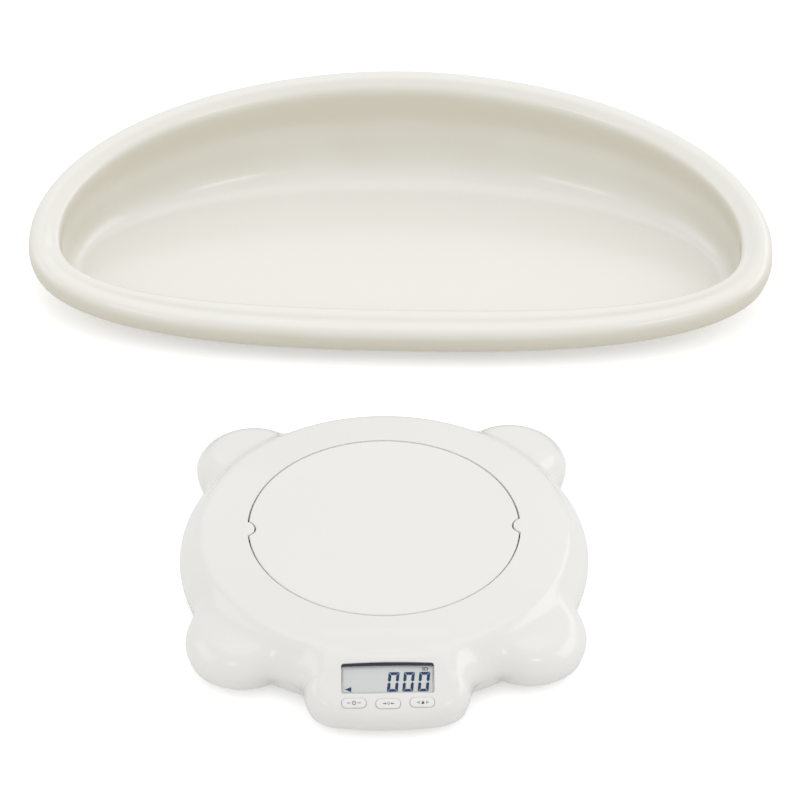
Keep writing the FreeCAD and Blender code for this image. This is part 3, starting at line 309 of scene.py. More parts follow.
def head_plan(x, y):
    """Distance from the head's plan, and how squarely its wall faces the front."""
    side = np.abs(x) - HEAD_HALF_WIDTH
    from_bow = y + HEAD_REACH - HEAD_BOW
    bow_radius = np.hypot(x, from_bow)
    bow = bow_radius - HEAD_BOW
    corner_x = HEAD_HALF_WIDTH - HEAD_CORNER
    drop = math.sqrt((HEAD_BOW - HEAD_CORNER) ** 2 - corner_x**2)
    across = np.abs(x) - corner_x
    along = from_bow + drop
    corner = np.hypot(across, along) - HEAD_CORNER
    in_corner = (along < 0) & (corner_x * along + drop * across > 0)
    plan = np.where(in_corner, corner, np.maximum(side, bow))
    on_bow = np.where(bow > side, -from_bow / bow_radius, 0)
    ahead = np.where(in_corner, -along / (corner + HEAD_CORNER + 1e-9), on_bow)
    return plan, np.clip(ahead, 0, 1)


def head_distance(x, y, z):
    """The head: a sloping panel in a plan with a bowed front and round corners."""
    panel = (z - RING_EDGE_HEIGHT) * math.cos(HEAD_SLOPE) - (y + RING_RADIUS) * math.sin(HEAD_SLOPE)
    plan, ahead = head_plan(x, y)
    plan = np.maximum(plan, y + OPENING_RADIUS)
    crest = round_max(panel, ring_distance(x, y, z), HEAD_BEND, HEAD_BEND_COSINE)
    rounding = HEAD_SIDE_ROUND + (HEAD_ROUND - HEAD_SIDE_ROUND) * ahead
    return round_max(plan + undercut(z), crest, rounding, ahead * math.sin(HEAD_SLOPE))


def with_slope(form, points, **facts):
    """A form's distance at points, and the direction in which it grows."""
    x, y, z = points
    here = form(x, y, z, **facts)
    slope = np.stack([form(x + SLOPE_STEP, y, z, **facts) - here,
                      form(x, y + SLOPE_STEP, z, **facts) - here,
                      form(x, y, z + SLOPE_STEP, **facts) - here])
    length = np.sqrt((slope**2).sum(axis=0)) + 1e-12
    return here, slope / length


def join(first, second, web):
    """The union of two forms; where their surfaces cross, a soft web fills the corner."""
    near, near_slope = first
    far, far_slope = second
    facing = np.clip(1 - (near_slope * far_slope).sum(axis=0), 0, 1)
    reach = web * np.sqrt(facing) + 1e-6
    share = np.maximum(reach - np.abs(near - far), 0) / reach
    weight = share**2 / 2
    first_is_less = near < far
    weight_of_far = np.where(first_is_less, weight, 1 - weight)
    joined = np.minimum(near, far) - share**3 * reach / 6
    return joined, near_slope * (1 - weight_of_far) + far_slope * weight_of_far


def housing_distance(x, y, z):
    """The whole housing; the webs between its forms fade out at the parting line."""
    points = (x, y, z)
    fade = smooth_step((z - PARTING) / WEB_FADE)
    whole = with_slope(dome_distance, points)
    whole = join(whole, with_slope(paw_distance, points, **REAR_PAW), REAR_PAW_WEB * fade)
    whole = join(whole, with_slope(paw_distance, points, **FRONT_PAW), FRONT_PAW_WEB * fade)
    whole = join(whole, with_slope(head_distance, points), HEAD_WEB * fade)
    return whole[0]


# rays for finding the skin: where they start, how far they are searched and how finely
RAY_RADIUS = 96.0
RAY_HEIGHT = 14.0
RAY_NEAR = 2.0
RAY_FAR = 125.0
RAY_HALVINGS = 20
OUTLINE_FAR = 230.0
OUTLINE_HALVINGS = 24
TRIAL_RAYS = 60


def last_inside(low, high, is_inside, halvings):
    """Where a skin lies between values inside and outside it, by halving the span."""
    for _ in range(halvings):
        middle = (low + high) / 2
        inside = is_inside(middle)
        low = np.where(inside, middle, low)
        high = np.where(inside, high, middle)
    return (low + high) / 2


def housing_hits(turns, lifts, depth):
    """Where rays from inside the rim meet the housing at a depth below its surface.

    Each ray starts RAY_RADIUS from the axis, at its turn about it, and rises by its lift.
    Gives radius and height of each meeting.
    """
    def is_inside(reach):
        radius = RAY_RADIUS + reach * np.cos(lifts)
        height = RAY_HEIGHT + reach * np.sin(lifts)
        return housing_distance(radius * np.cos(turns), radius * np.sin(turns), height) < -depth

    reach = last_inside(RAY_NEAR, RAY_FAR, is_inside, RAY_HALVINGS)
    return RAY_RADIUS + reach * np.cos(lifts), RAY_HEIGHT + reach * np.sin(lifts)


def outline_radius(turns, height, depth):
    """The radius at one height of the housing's skin, or of the skin at a depth below it."""
    def is_inside(radius):
        return housing_distance(radius * np.cos(turns), radius * np.sin(turns), height) < -depth

    return last_inside(RAY_RADIUS, OUTLINE_FAR, is_inside, OUTLINE_HALVINGS)


def even_lifts(turns, first, last, rows, depth):
    """Ray lifts that meet the housing at even steps along its section."""
    trial = np.linspace(0, 1, TRIAL_RAYS)[:, None]
    lifts = first + (last - first) * trial
    radius, height = housing_hits(np.broadcast_to(turns, lifts.shape), lifts, depth)
    steps = np.hypot(np.diff(radius, axis=0), np.diff(height, axis=0))
    along = np.concatenate([np.zeros((1, len(turns))), np.cumsum(steps, axis=0)])
    even = np.empty((rows, len(turns)))
    for column in range(len(turns)):
        wanted = np.linspace(0, along[-1, column], rows)
        even[:, column] = np.interp(wanted, along[:, column], lifts[:, column])
    return even


# steps round the cover in degrees, and the span where the head's side leaves the ring
TURN_STEP = 0.6
FINE_TURN_STEP = TURN_STEP / 3
TAB_TURN_STEP = FINE_TURN_STEP * 1.5
HEAD_SIDE_TURNS = (-72, -58)


def half_turns():
    """Turns of the right half, from the head round to the back; closer where it bends."""
    tab_corner = math.degrees(tab_corner_turn())
    first, last = HEAD_SIDE_TURNS
    spans = ((-90, first, TURN_STEP), (first, last, FINE_TURN_STEP), (last, -tab_corner, TURN_STEP),
             (-tab_corner, tab_corner, TAB_TURN_STEP), (tab_corner, 90, TURN_STEP))
    turns = []
    for start, stop, step in spans:
        count = max(1, round((stop - start) / step))
        turns.extend(np.linspace(start, stop, count, endpoint=False))
    turns.append(90)
    return np.radians(turns)


def tab_centre():
    """How far from the axis the centre of each half-round tab lies."""
    return OPENING_RADIUS - TAB_REACH + TAB_RADIUS


def tab_corner_turn():
    """The turn at which the round tab leaves the round opening."""
    centre = tab_centre()
    cosine = (OPENING_RADIUS**2 + centre**2 - TAB_RADIUS**2) / (2 * OPENING_RADIUS * centre)
    return math.acos(cosine)


def opening_edge(turns, tab_radius, opening):
    """The radius of an opening's edge, drawn in by the half-round tabs at both sides."""
    centre = tab_centre()
    sideways = centre * np.sin(turns)
    inside = np.maximum(tab_radius**2 - sideways**2, 0)
    tab = centre * np.abs(np.cos(turns)) - np.sqrt(inside)
    return np.where(np.abs(sideways) < tab_radius, np.minimum(tab, opening), opening)


def mirrored_rows(rows):
    """Rows of the right half, closed into full rows by their mirror image."""
    other = rows[:, -2:0:-1].copy()
    other[..., 0] *= -1
    return np.concatenate([rows, other], axis=1)


def row_at(turns, radius, height):
    """Points at some turns; radius and height are one value each or one for every turn."""
    radius = np.broadcast_to(radius, turns.shape)
    height = np.broadcast_to(height, turns.shape)
    return np.stack([radius * np.cos(turns), radius * np.sin(turns), height], -1)


OUTER_ROWS = 102
INNER_ROWS = 24
OPENING_ROUND = 0.7
OPENING_EASE = 0.3
SKIN_START = 0.5
INNER_FOOT = 6.0


def skin_rows(turns, start_radius, start_height, foot, depth, count):
    """Rows down the housing's skin, or at a depth below it, from the opening to a foot height.

    The radius at the foot is given too.
    """
    foot_radius = outline_radius(turns, foot, depth)
    first = math.atan2(start_height - RAY_HEIGHT, start_radius + SKIN_START - RAY_RADIUS)
    last = np.arctan2(foot - RAY_HEIGHT, foot_radius - RAY_RADIUS)
    lifts = even_lifts(turns, np.full(turns.shape, first), last, count, depth)
    radius, height = housing_hits(np.broadcast_to(turns, lifts.shape), lifts, depth)
    return [row_at(turns, radius[row], height[row]) for row in range(count)], foot_radius


def opening_rows(turns, edge, rim_height):
    """The rounded edge of the opening, up to where the ring's cone begins."""
    top = RING_INNER_HEIGHT
    ease = OPENING_EASE * OPENING_ROUND
    on_cone = np.minimum(top, rim_height + (OPENING_RADIUS - edge) * math.tan(RING_PITCH))
    return [row_at(turns, edge, top - OPENING_ROUND),
            row_at(turns, edge + ease, top - ease),
            row_at(turns, edge + OPENING_ROUND, on_cone)]


def top_cover_rows():
    """All rows of the top cover, over its outside, up its inside and round its collar."""
    turns = half_turns()
    edge = opening_edge(turns, TAB_RADIUS, OPENING_RADIUS)
    top = RING_INNER_HEIGHT
    rim_height = top - math.tan(RING_PITCH) * OPENING_ROUND
    collar_outside = OPENING_RADIUS + COVER_WALL
    start = OPENING_RADIUS + OPENING_ROUND
    outer, foot_radius = skin_rows(turns, start, rim_height, PARTING, 0, OUTER_ROWS)
    under = top - COVER_WALL
    inner, _ = skin_rows(turns, collar_outside, under, PARTING + INNER_FOOT, COVER_WALL, INNER_ROWS)
    rows = opening_rows(turns, edge, rim_height) + outer
    rows.append(row_at(turns, foot_radius - COVER_WALL, PARTING))
    rows += inner[::-1]
    under_tab = top - TAB_DEPTH
    for spot in ((collar_outside, COLLAR_LOW), (OPENING_RADIUS, COLLAR_LOW),
                 (OPENING_RADIUS, under_tab), (edge, under_tab)):
        rows.append(row_at(turns, *spot))
    return mirrored_rows(np.array(rows))


WINDOW_ARCH = 0.9
ARCH_PARTS = 24
EDGE_BREAK = 0.35
EDGE_EASE = 0.3
CUT_BEYOND = 2.0
WINDOW_ROOM = 0.05
CUT_SMOOTH_ANGLE = 28


def window_outline(grow=0.0):
    """The window's outline: its upper edge is gently arched."""
    half_width = WINDOW["width"] / 2 + grow
    half_length = WINDOW["length"] / 2 + grow
    outline = rounded_outline(half_width, half_length, WINDOW["corner"] + grow, steps=6)
    arched = []
    for index in range(len(outline)):
        start = outline[index]
        stop = outline[(index + 1) % len(outline)]
        parts = ARCH_PARTS if abs(stop[0] - start[0]) > half_width else 1
        arched.extend(start + (stop - start) * part / parts for part in range(parts))
    arched = np.array(arched)
    upper = arched[:, 1] > 0
    fall = WINDOW_ARCH * (arched[:, 0] / half_width) ** 2
    arched[:, 1] -= np.where(upper, fall, 0)
    return arched


def cutter(lofts):
    """One tool from several separate lofts."""
    mesh = bmesh.new()
    for rows in lofts:
        add_loft(mesh, rows)
    bmesh.ops.recalc_face_normals(mesh, faces=mesh.faces)
    bmesh.ops.scale(mesh, vec=(MM, MM, MM), verts=mesh.verts)
    return object_from("cutter", mesh)


def hole_levels(deep):
    """Levels of a hole whose upper edge is lightly rounded."""
    ease = EDGE_EASE * EDGE_BREAK
    edge = EDGE_BREAK
    return [(0, -deep), (0, -edge), (-ease, -ease), (-edge, 0), (-edge, CUT_BEYOND)]


def cut_holes(piece, tool):
    """Cuts the tool out of the piece, then removes the tool."""
    cut = piece.modifiers.new("cut", "BOOLEAN")
    cut.operation = "DIFFERENCE"
    cut.solver = "EXACT"
    cut.object = tool
    bpy.context.view_layer.update()
    graph = bpy.context.evaluated_depsgraph_get()
    data = bpy.data.meshes.new_from_object(piece.evaluated_get(graph))
    piece.modifiers.clear()
    piece.data = data
    used = tool.data
    bpy.data.objects.remove(tool)
    bpy.data.meshes.remove(used)
    smooth(data, CUT_SMOOTH_ANGLE)


def key_places():
    """The places of the three keys, across and down, along a slight arc."""
    return [(index * KEY_SPACING, KEY_DOWN - abs(index) * KEY_ARC) for index in (-1, 0, 1)]


def make_top_cover(material):
    """The top cover, with the window's stepped seat and the three key holes cut out."""
    mesh = bmesh.new()
    add_loft(mesh, top_cover_rows(), ring=True)
    piece = make_piece("top_cover_shell", mesh, "housing", material)
    seat = WINDOW["thick"] + WINDOW["recess"]
    deep = COVER_WALL + 1
    inner = window_outline(-WINDOW["ledge"])
    window = slab_rows(inner, [(0, -deep), (0, -seat)], 0, WINDOW["down"])
    window += slab_rows(window_outline(WINDOW_ROOM), hole_levels(seat), 0, WINDOW["down"])
    lofts = [window]
    half_width = KEY["width"] / 2 + KEY["gap"]
    half_length = KEY["length"] / 2 + KEY["gap"]
    hole = rounded_outline(half_width, half_length, KEY["corner"])
    for across, down in key_places():
        lofts.append(slab_rows(hole, hole_levels(deep), across, down))
    cut_holes(piece, cutter(lofts))
    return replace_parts(piece, "top_cover")


# ---- platform ----


PLATFORM_TURN_STEP = math.radians(0.5)
JOINED_DEPTH = 0.1


def platform_rows():
    """Rows of the platform: over its rounded edge, down its skirt and up inside it."""
    step = PLATFORM_TURN_STEP
    turns = np.arange(-math.pi / 2, math.pi / 2 + step / 2, step)
    radius = OPENING_RADIUS - PLATFORM_GAP
    edge = opening_edge(turns, TAB_RADIUS + PLATFORM_GAP, radius)
    skirt = np.minimum(edge, radius) - COVER_WALL
    top = PLATFORM_TOP - PLATFORM_DIP
    rows = [row_at(turns, edge - 4 * PLATFORM_ROUND, top)]
    for share in (0, 0.25, 0.5, 0.75, 1):
        bend = share * math.pi / 2
        outwards = edge - PLATFORM_ROUND + PLATFORM_ROUND * math.sin(bend)
        rows.append(row_at(turns, outwards, top - PLATFORM_ROUND + PLATFORM_ROUND * math.cos(bend)))
    low = top - PLATFORM_SKIRT
    for spot in ((edge, low), (skirt, low), (skirt, top - PLATFORM_PLATE)):
        rows.append(row_at(turns, *spot))
    return mirrored_rows(np.array(rows))


def make_platform(material):
    """The round platform and the four posts under it."""
    mesh = bmesh.new()
    add_loft(mesh, platform_rows())
    post_top = PLATFORM_TOP - PLATFORM_DIP - PLATFORM_PLATE + JOINED_DEPTH
    for index in range(4):
        turn = math.radians(45 + 90 * index)
        x = POST_CIRCLE * math.cos(turn)
        y = POST_CIRCLE * math.sin(turn)
        add_turned(mesh, [(POST_RADIUS, SUPPORT_TOP), (POST_RADIUS, post_top)], x, y, POST_SIDES)
    piece = make_piece("platform_plate", mesh, "platform", material)
    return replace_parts(piece, "platform_disc")


# ---- tray ----

TRAY_WIDTH = 586.0
TRAY_FRONT = 133.0
TRAY_BACK = 135.0
TRAY_WIDEST = 36.0
TRAY_CREST_FRONT = 30.0
TRAY_CREST_BACK = 92.0
TRAY_WALL = 3.5
TRAY_FLOOR = 10.0
RIM_INSET = 8.0
RIM_WIDTH = 16.0
RIM_DROP = 4.0
FRONT_RIM_WIDTH = 35.0
FRONT_RIM_DROP = 10.5
LIP_DROP = 18.0
LIP_INSET = 2.0
RIM_FULLNESS = (2.58, 1.93)
FLOOR_FULLNESS = (2.6, 2.1)
FLOOR_WIDTH = 500.0
FLOOR_FRONT = 74.0
FLOOR_BACK = 66.0
FLOOR_WIDEST = 34.0
WALL_CURVE = 2.8
WALL_STEPS = (0.0, 0.15, 0.3, 0.45, 0.6, 0.75, 0.88)
TRAY_X = 21.0
TRAY_Y = 395.0
TRAY_TURN = math.radians(-2.8)
TRAY_FOOT = dict(radius=11.0, across=68.0, centre=-9.0, spread=53.0)
PAD_THICK = 3.0
FOOT_OVERLAP = 0.5
# how far the rim's inner edge is eased towards its roll, and the (inset, drop) of the roll's
# beginning and of the rows after it
ROLL_SHARE = 0.35
ROLL = (1.5 * RIM_INSET, 0.2 * RIM_DROP)
OUTER_RIM = ((RIM_INSET, 0), (0.25 * RIM_INSET, 0.2 * LIP_DROP),
             (0, 0.5 * LIP_DROP), (LIP_INSET, LIP_DROP))
RIM_SPREAD = 1.5
TRAY_ROWS = 80
TRAY_SIDES = 600
TRAY_SMOOTH_ANGLE = 40


def oval(turns, half_width, front, back, widest, front_fullness, back_fullness):
    """An egg-shaped outline; a fullness of 2 is an ellipse, more is squarer."""
    across = np.cos(turns)
    along = np.sin(turns)
    ahead = along < 0
    power = 2 / np.where(ahead, front_fullness, back_fullness)
    depth = np.where(ahead, widest + front, back - widest)
    x = half_width * np.sign(across) * np.abs(across) ** power
    y = widest + depth * np.sign(along) * np.abs(along) ** power
    return x, y


def rim_row(turns, inset, drop):
    """A row of the tray's rim, which climbs evenly from the front to the back."""
    half_width = TRAY_WIDTH / 2 - inset
    front = TRAY_FRONT - inset
    x, y = oval(turns, half_width, front, TRAY_BACK - inset, -TRAY_WIDEST, *RIM_FULLNESS)
    share = (y + TRAY_FRONT) / (TRAY_FRONT + TRAY_BACK)
    crest = TRAY_CREST_FRONT + (TRAY_CREST_BACK - TRAY_CREST_FRONT) * share
    return np.stack([x, y, crest - drop], -1)


def floor_row(turns):
    """The edge of the tray's flat floor."""
    x, y = oval(turns, FLOOR_WIDTH / 2, FLOOR_FRONT, FLOOR_BACK, -FLOOR_WIDEST, *FLOOR_FULLNESS)
    return np.stack([x, y, np.full(turns.shape, TRAY_FLOOR)], -1)


def inner_edge_row(turns):
    """The rim's inner edge: the rim is broad and low at the front, narrow at the back."""
    ahead = ((1 - np.sin(turns)) / 2) ** RIM_SPREAD
    width = RIM_WIDTH + (FRONT_RIM_WIDTH - RIM_WIDTH) * ahead
    return rim_row(turns, width, RIM_DROP + (FRONT_RIM_DROP - RIM_DROP) * ahead)


def wall_row(turns, share):
    """A row of the inner wall, from the floor at 0 to the rim at 1."""
    low = floor_row(turns)
    high = inner_edge_row(turns)
    spot = low + (high - low) * share
    spot[:, 2] = low[:, 2] + (high[:, 2] - low[:, 2]) * share**WALL_CURVE
    return spot


def tray_upper_rows(turns):
    """The tray's upper skin: wall, rolled rim and outer lip."""
    edge = inner_edge_row(turns)
    roll = rim_row(turns, *ROLL)
    knots = [wall_row(turns, share) for share in WALL_STEPS]
    knots += [edge, edge + (roll - edge) * ROLL_SHARE, roll]
    knots += [rim_row(turns, *spot) for spot in OUTER_RIM]
    return spline(knots, np.linspace(0, 1, TRAY_ROWS))


def moved_inwards(rows, distance):
    """Rows moved along the normal of the skin that they form."""
    along = np.gradient(rows, axis=0)
    around_rim = np.roll(rows, -1, axis=1) - np.roll(rows, 1, axis=1)
    normal = np.cross(around_rim, along)
    normal /= np.linalg.norm(normal, axis=-1, keepdims=True)
    moved = rows + normal * distance
    moved[0] = rows[0] - np.array([0, 0, distance])
    return moved


def placed_tray(points):
    """Points of the tray, moved to where it stands behind the base."""
    cosine = math.cos(TRAY_TURN)
    sine = math.sin(TRAY_TURN)
    x, y, z = np.moveaxis(np.asarray(points, float), -1, 0)
    return np.stack([TRAY_X + x * cosine - y * sine, TRAY_Y + x * sine + y * cosine, z], -1)


def make_tray(material):
    """The tray: a skin of even thickness with its rolled rim, on four round feet."""
    turns = np.linspace(0, 2 * math.pi, TRAY_SIDES, endpoint=False) + math.pi / TRAY_SIDES
    upper = tray_upper_rows(turns)
    under = moved_inwards(upper, TRAY_WALL)
    mesh = bmesh.new()
    add_loft(mesh, placed_tray(np.concatenate([upper, under[::-1]])))
    foot_top = TRAY_FLOOR - TRAY_WALL + FOOT_OVERLAP
    foot = [(TRAY_FOOT["radius"], PAD_THICK), (TRAY_FOOT["radius"], foot_top)]
    for side in (-1, 1):
        for end in (-1, 1):
            along = TRAY_FOOT["centre"] + end * TRAY_FOOT["spread"]
            spot = placed_tray([[side * TRAY_FOOT["across"], along, 0]])[0]
            add_turned(mesh, foot, spot[0], spot[1])
    piece = make_piece("tray_bowl", mesh, "tray", material, TRAY_SMOOTH_ANGLE)
    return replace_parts(piece, "tray_shell")


# ---- display and keys ----

DIGIT = dict(left=-0.9, pitch=11.35, width=8.1, top=13.05, bottom=28.4, stroke=2.25, slit=0.22)
DIGIT_SLANT = 0.112
MARK_THICK = 0.06
POINTER = ((-31.8, 26.1), (-27.0, 24.1), (-27.0, 28.1))
BATTERY_SIGN_PLACE = (27.9, 10.8)
# left, top, right and bottom of each bar, from the sign's middle
BATTERY_SIGN_BARS = ((-2.2, -1.2, 1.6, -0.8), (-2.2, 0.8, 1.6, 1.2), (-2.2, -0.8, -1.8, 0.8),
                     (1.2, -0.8, 1.6, 0.8), (1.6, -0.5, 2.2, 0.5), (-1.4, -0.4, -0.2, 0.4))


def add_flat_mark(mesh, points, out):
    """A thin printed mark on the head from (across, down) corners."""
    points = np.asarray(points, float)
    rows = []
    for level in (out, out + MARK_THICK):
        rows.append(on_head(np.column_stack([points, np.full(len(points), level)])))
    add_loft(mesh, rows)


def upper_bars():
    """The top bar and the two upper side bars of a zero, in a box one digit wide and high."""
    width = DIGIT["width"]
    stroke = DIGIT["stroke"]
    slit = DIGIT["slit"]
    half = (DIGIT["bottom"] - DIGIT["top"]) / 2
    inner = stroke + slit
    bars = [[(slit, 0), (width - slit, 0), (width - inner, stroke), (inner, stroke)]]
    for near, far in ((0, stroke), (width, width - stroke)):
        bars.append([(near, slit), (far, inner), (far, half - inner / 2),
                     ((near + far) / 2, half - slit), (near, half - stroke / 2)])
    return bars


def add_zero(mesh, place, out):
    """A slanted zero of six bars at its place in the row of digits."""
    height = DIGIT["bottom"] - DIGIT["top"]
    left = DIGIT["left"] + place * DIGIT["pitch"]
    bars = upper_bars()
    bars += [[(x, height - down) for x, down in bar] for bar in bars]
    for bar in bars:
        x, down = np.transpose(bar)
        slanted = left + x + DIGIT_SLANT * (height - down)
        add_flat_mark(mesh, np.column_stack([slanted, DIGIT["top"] + down]), out)


def character_polygons(character, size):
    """The flat faces of one plain character, as polygons of (x, y) points."""
    curve = bpy.data.curves.new("character", "FONT")
    curve.body = character
    curve.size = size
    curve.align_x = "CENTER"
    curve.align_y = "CENTER"
    curve.resolution_u = 4
    holder = add_object("character", curve)
    bpy.context.view_layer.update()
    data = bpy.data.meshes.new_from_object(holder)
    places = [tuple(vertex.co[:2]) for vertex in data.vertices]
    polygons = [[places[index] for index in face.vertices] for face in data.polygons]
    bpy.data.objects.remove(holder)
    bpy.data.curves.remove(curve)
    bpy.data.meshes.remove(data)
    return polygons


def make_display_marks(material):
    """Three zeros, a battery sign and a pointer on the liquid crystal panel."""
    out = -COVER_WALL
    mesh = bmesh.new()
    for place in range(3):
        add_zero(mesh, place, out)
    across, down = BATTERY_SIGN_PLACE
    for left, top, right, bottom in BATTERY_SIGN_BARS:
        add_bar(mesh, across + left, down + top, across + right, down + bottom, out)
    add_flat_mark(mesh, POINTER, out)
    return make_piece("display_digits", mesh, "housing", material)


# the rounded upper edges of the window and of a key, as (inset, depth below the top)
WINDOW_EDGE = ((0, 0.3), (0.1, 0.1), (0.3, 0))
KEY_EDGE = ((0, 0.7), (0.07, 0.42), (0.25, 0.18), (0.5, 0.05), (0.8, 0))


def make_window(material):
    """The clear window, arched at its top like its seat in the cover."""
    top = -WINDOW["recess"]
    levels = [(0, top - WINDOW["thick"])]
    levels += [(inset, top - below) for inset, below in WINDOW_EDGE]
    mesh = bmesh.new()
    add_loft(mesh, slab_rows(window_outline(0), levels, 0, WINDOW["down"]))
    piece = make_piece("window_pane", mesh, "housing", material)
    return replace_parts(piece, "display_window")


# a dark sheet under the window's upper edge, painted shade of the gap there
BAND_DEPTH = 0.4
BAND_INSET = 0.12
BAND_FOOT = 8.5
BAND_SAG = 0.6
BAND_LEAST = 0.05
BAND_POINTS = 81


def make_window_painted_shade_band(material):
    """A dark band along the window's arched upper edge: painted shade, a dark sheet where the gap
    under the cover's edge lies in shade.
    """
    half = WINDOW["width"] / 2 - BAND_INSET
    corner = WINDOW["corner"]
    top = WINDOW["down"] - WINDOW["length"] / 2 + BAND_INSET
    across = np.linspace(-half, half, BAND_POINTS)
    beyond = np.clip(np.abs(across) - (half - corner), 0, corner)
    arch = WINDOW_ARCH * (across / half) ** 2 + corner - np.sqrt(corner**2 - beyond**2)
    foot = BAND_FOOT + BAND_SAG * (across / half) ** 2
    upper = list(zip(across, np.minimum(top + arch, foot - BAND_LEAST)))
    lower = list(zip(across, foot))
    mesh = bmesh.new()
    add_flat_mark(mesh, upper + lower[::-1], -WINDOW["recess"] - BAND_DEPTH)
    return make_piece("window_painted_shade_band", mesh, "housing", material)


KEY_FOOT = 0.1
KEY_FLANGE = dict(reach=0.7, corner=0.5, thick=0.6)


def make_key(name, body, across, down, material):
    """A key cap with a rounded top edge, and the flange that holds it in."""
    half_width = KEY["width"] / 2
    half_length = KEY["length"] / 2
    low = -COVER_WALL - KEY_FOOT
    levels = [(0, low)]
    levels += [(inset, KEY["rise"] - below) for inset, below in KEY_EDGE]
    mesh = bmesh.new()
    outline = rounded_outline(half_width, half_length, KEY["corner"], steps=12)
    add_loft(mesh, slab_rows(outline, levels, across, down))
    reach = KEY_FLANGE["reach"]
    flange = rounded_outline(half_width + reach, half_length + reach, KEY_FLANGE["corner"], steps=3)
    add_loft(mesh, slab_rows(flange, [(0, low - KEY_FLANGE["thick"]), (0, low)], across, down))
    piece = make_piece(name + "_cap", mesh, body, material)
    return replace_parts(piece, name)


# the key signs, in millimetres from each sign's middle
POWER_RING = dict(down=0.1, outer=(1.6, 1.6), inner=(1.15, 1.15), gap=math.radians(32), points=19)
POWER_BAR = dict(half=0.24, top=1.85, bottom=0.1)
POWER_DASH = dict(near=2.8, far=5.0, top=0.15, bottom=0.3)
ZERO_SIZE = 3.3
ZERO_SHIFT = 0.3
ARROW = dict(room=1.5, head=1.2, half=0.9, end=2.9, shaft_half=0.22)
PADLOCK_SHIFT = (0.4, 0.3)
PADLOCK_BODY = dict(half=1.0, top=0.2, bottom=1.2)
PADLOCK_BOW = dict(outer=(0.75, 1.1), inner=(0.4, 0.75), points=13)
BRACKET = dict(near=2.6, far=3.0, top=1.3, bottom=1.2)
BRACKET_DASH = dict(near=3.0, far=4.6, top=0.2, bottom=0.15)


def add_bar(mesh, left, top, right, bottom, out):
    add_flat_mark(mesh, [(left, top), (right, top), (right, bottom), (left, bottom)], out)


def add_side_bars(mesh, across, down, bar, out):
    """A bar to the left and its twin to the right of a middle."""
    for side in (-1, 1):
        near, far = sorted((across + side * bar["near"], across + side * bar["far"]))
        add_bar(mesh, near, down - bar["top"], far, down + bar["bottom"], out)


def add_arc(mesh, across, down, arc, first, last, out):
    """Part of a flat oval ring, from one turn to another."""
    turns = np.linspace(first, last, arc["points"])
    points = []
    for (wide, high), way in ((arc["outer"], turns), (arc["inner"], turns[::-1])):
        points += [(across + wide * math.cos(turn), down - high * math.sin(turn)) for turn in way]
    add_flat_mark(mesh, points, out)


def add_power_sign(mesh, across, down, out):
    """An open ring with a bar in its gap, between two short dashes."""
    first = math.pi / 2 + POWER_RING["gap"]
    last = math.pi * 5 / 2 - POWER_RING["gap"]
    add_arc(mesh, across, down + POWER_RING["down"], POWER_RING, first, last, out)
    half = POWER_BAR["half"]
    top = down - POWER_BAR["top"]
    add_bar(mesh, across - half, top, across + half, down - POWER_BAR["bottom"], out)
    add_side_bars(mesh, across, down, POWER_DASH, out)


def add_zero_sign(mesh, across, down, out):
    """A zero between two small arrows that point to it."""
    across += ZERO_SHIFT
    for polygon in character_polygons("0", ZERO_SIZE):
        add_flat_mark(mesh, [(across + x, down - y) for x, y in polygon], out)
    for side in (-1, 1):
        tip = across + side * ARROW["room"]
        neck = tip + side * ARROW["head"]
        half = ARROW["half"]
        add_flat_mark(mesh, [(tip, down), (neck, down - half), (neck, down + half)], out)
        near, far = sorted((neck, tip + side * ARROW["end"]))
        add_bar(mesh, near, down - ARROW["shaft_half"], far, down + ARROW["shaft_half"], out)


def add_padlock(mesh, across, down, out):
    """A padlock between two brackets, each with a short dash."""
    across += PADLOCK_SHIFT[0]
    down += PADLOCK_SHIFT[1]
    half = PADLOCK_BODY["half"]
    shoulder = down - PADLOCK_BODY["top"]
    add_bar(mesh, across - half, shoulder, across + half, down + PADLOCK_BODY["bottom"], out)
    add_arc(mesh, across, shoulder, PADLOCK_BOW, 0, math.pi, out)
    for bar in (BRACKET, BRACKET_DASH):
        add_side_bars(mesh, across, down, bar, out)


def make_key_marks(material):
    """Plain signs: power, a zero between arrows, and a padlock between brackets."""
    signs = (("on_off_mark", "on_off_key", add_power_sign),
             ("tare_mark", "tare_key", add_zero_sign), ("hold_mark", "hold_key", add_padlock))
    for (name, body, add_sign), (across, down) in zip(signs, key_places()):
        mesh = bmesh.new()
        add_sign(mesh, across, down, KEY["rise"])
        make_piece(name, mesh, body, material)


# ---- materials ----


def new_material(name):
    """An empty material with its node tree and its main shader."""
    material = bpy.data.materials.new(name)
    material.use_nodes = True
    tree = material.node_tree
    shader = tree.nodes["Principled BSDF"]
    return material, tree, shader


def set_inputs(node, values):
    for name, value in values.items():
        node.inputs[name].default_value = value


def noise(tree, scale, detail, stretch=None):
    """A noise texture in the object's own space; stretch draws it out along an axis."""
    place = tree.nodes.new("ShaderNodeTexCoord")
    texture = tree.nodes.new("ShaderNodeTexNoise")
    set_inputs(texture, {"Scale": scale, "Detail": detail})
    source = place.outputs["Object"]
    if stretch:
        mapping = tree.nodes.new("ShaderNodeMapping")
        set_inputs(mapping, {"Scale": stretch})
        tree.links.new(source, mapping.inputs["Vector"])
        source = mapping.outputs["Vector"]
    tree.links.new(source, texture.inputs["Vector"])
    return texture.outputs["Fac"]


# noise seldom leaves this span
NOISE_SPAN = (0.15, 0.85)


def spread(tree, source, low, high):
    """Maps a noise value to a range."""
    node = tree.nodes.new("ShaderNodeMapRange")
    node.interpolation_type = "SMOOTHSTEP"
    first, last = NOISE_SPAN
    set_inputs(node, {"From Min": first, "From Max": last, "To Min": low, "To Max": high})
    tree.links.new(source, node.inputs["Value"])
    return node.outputs["Result"]


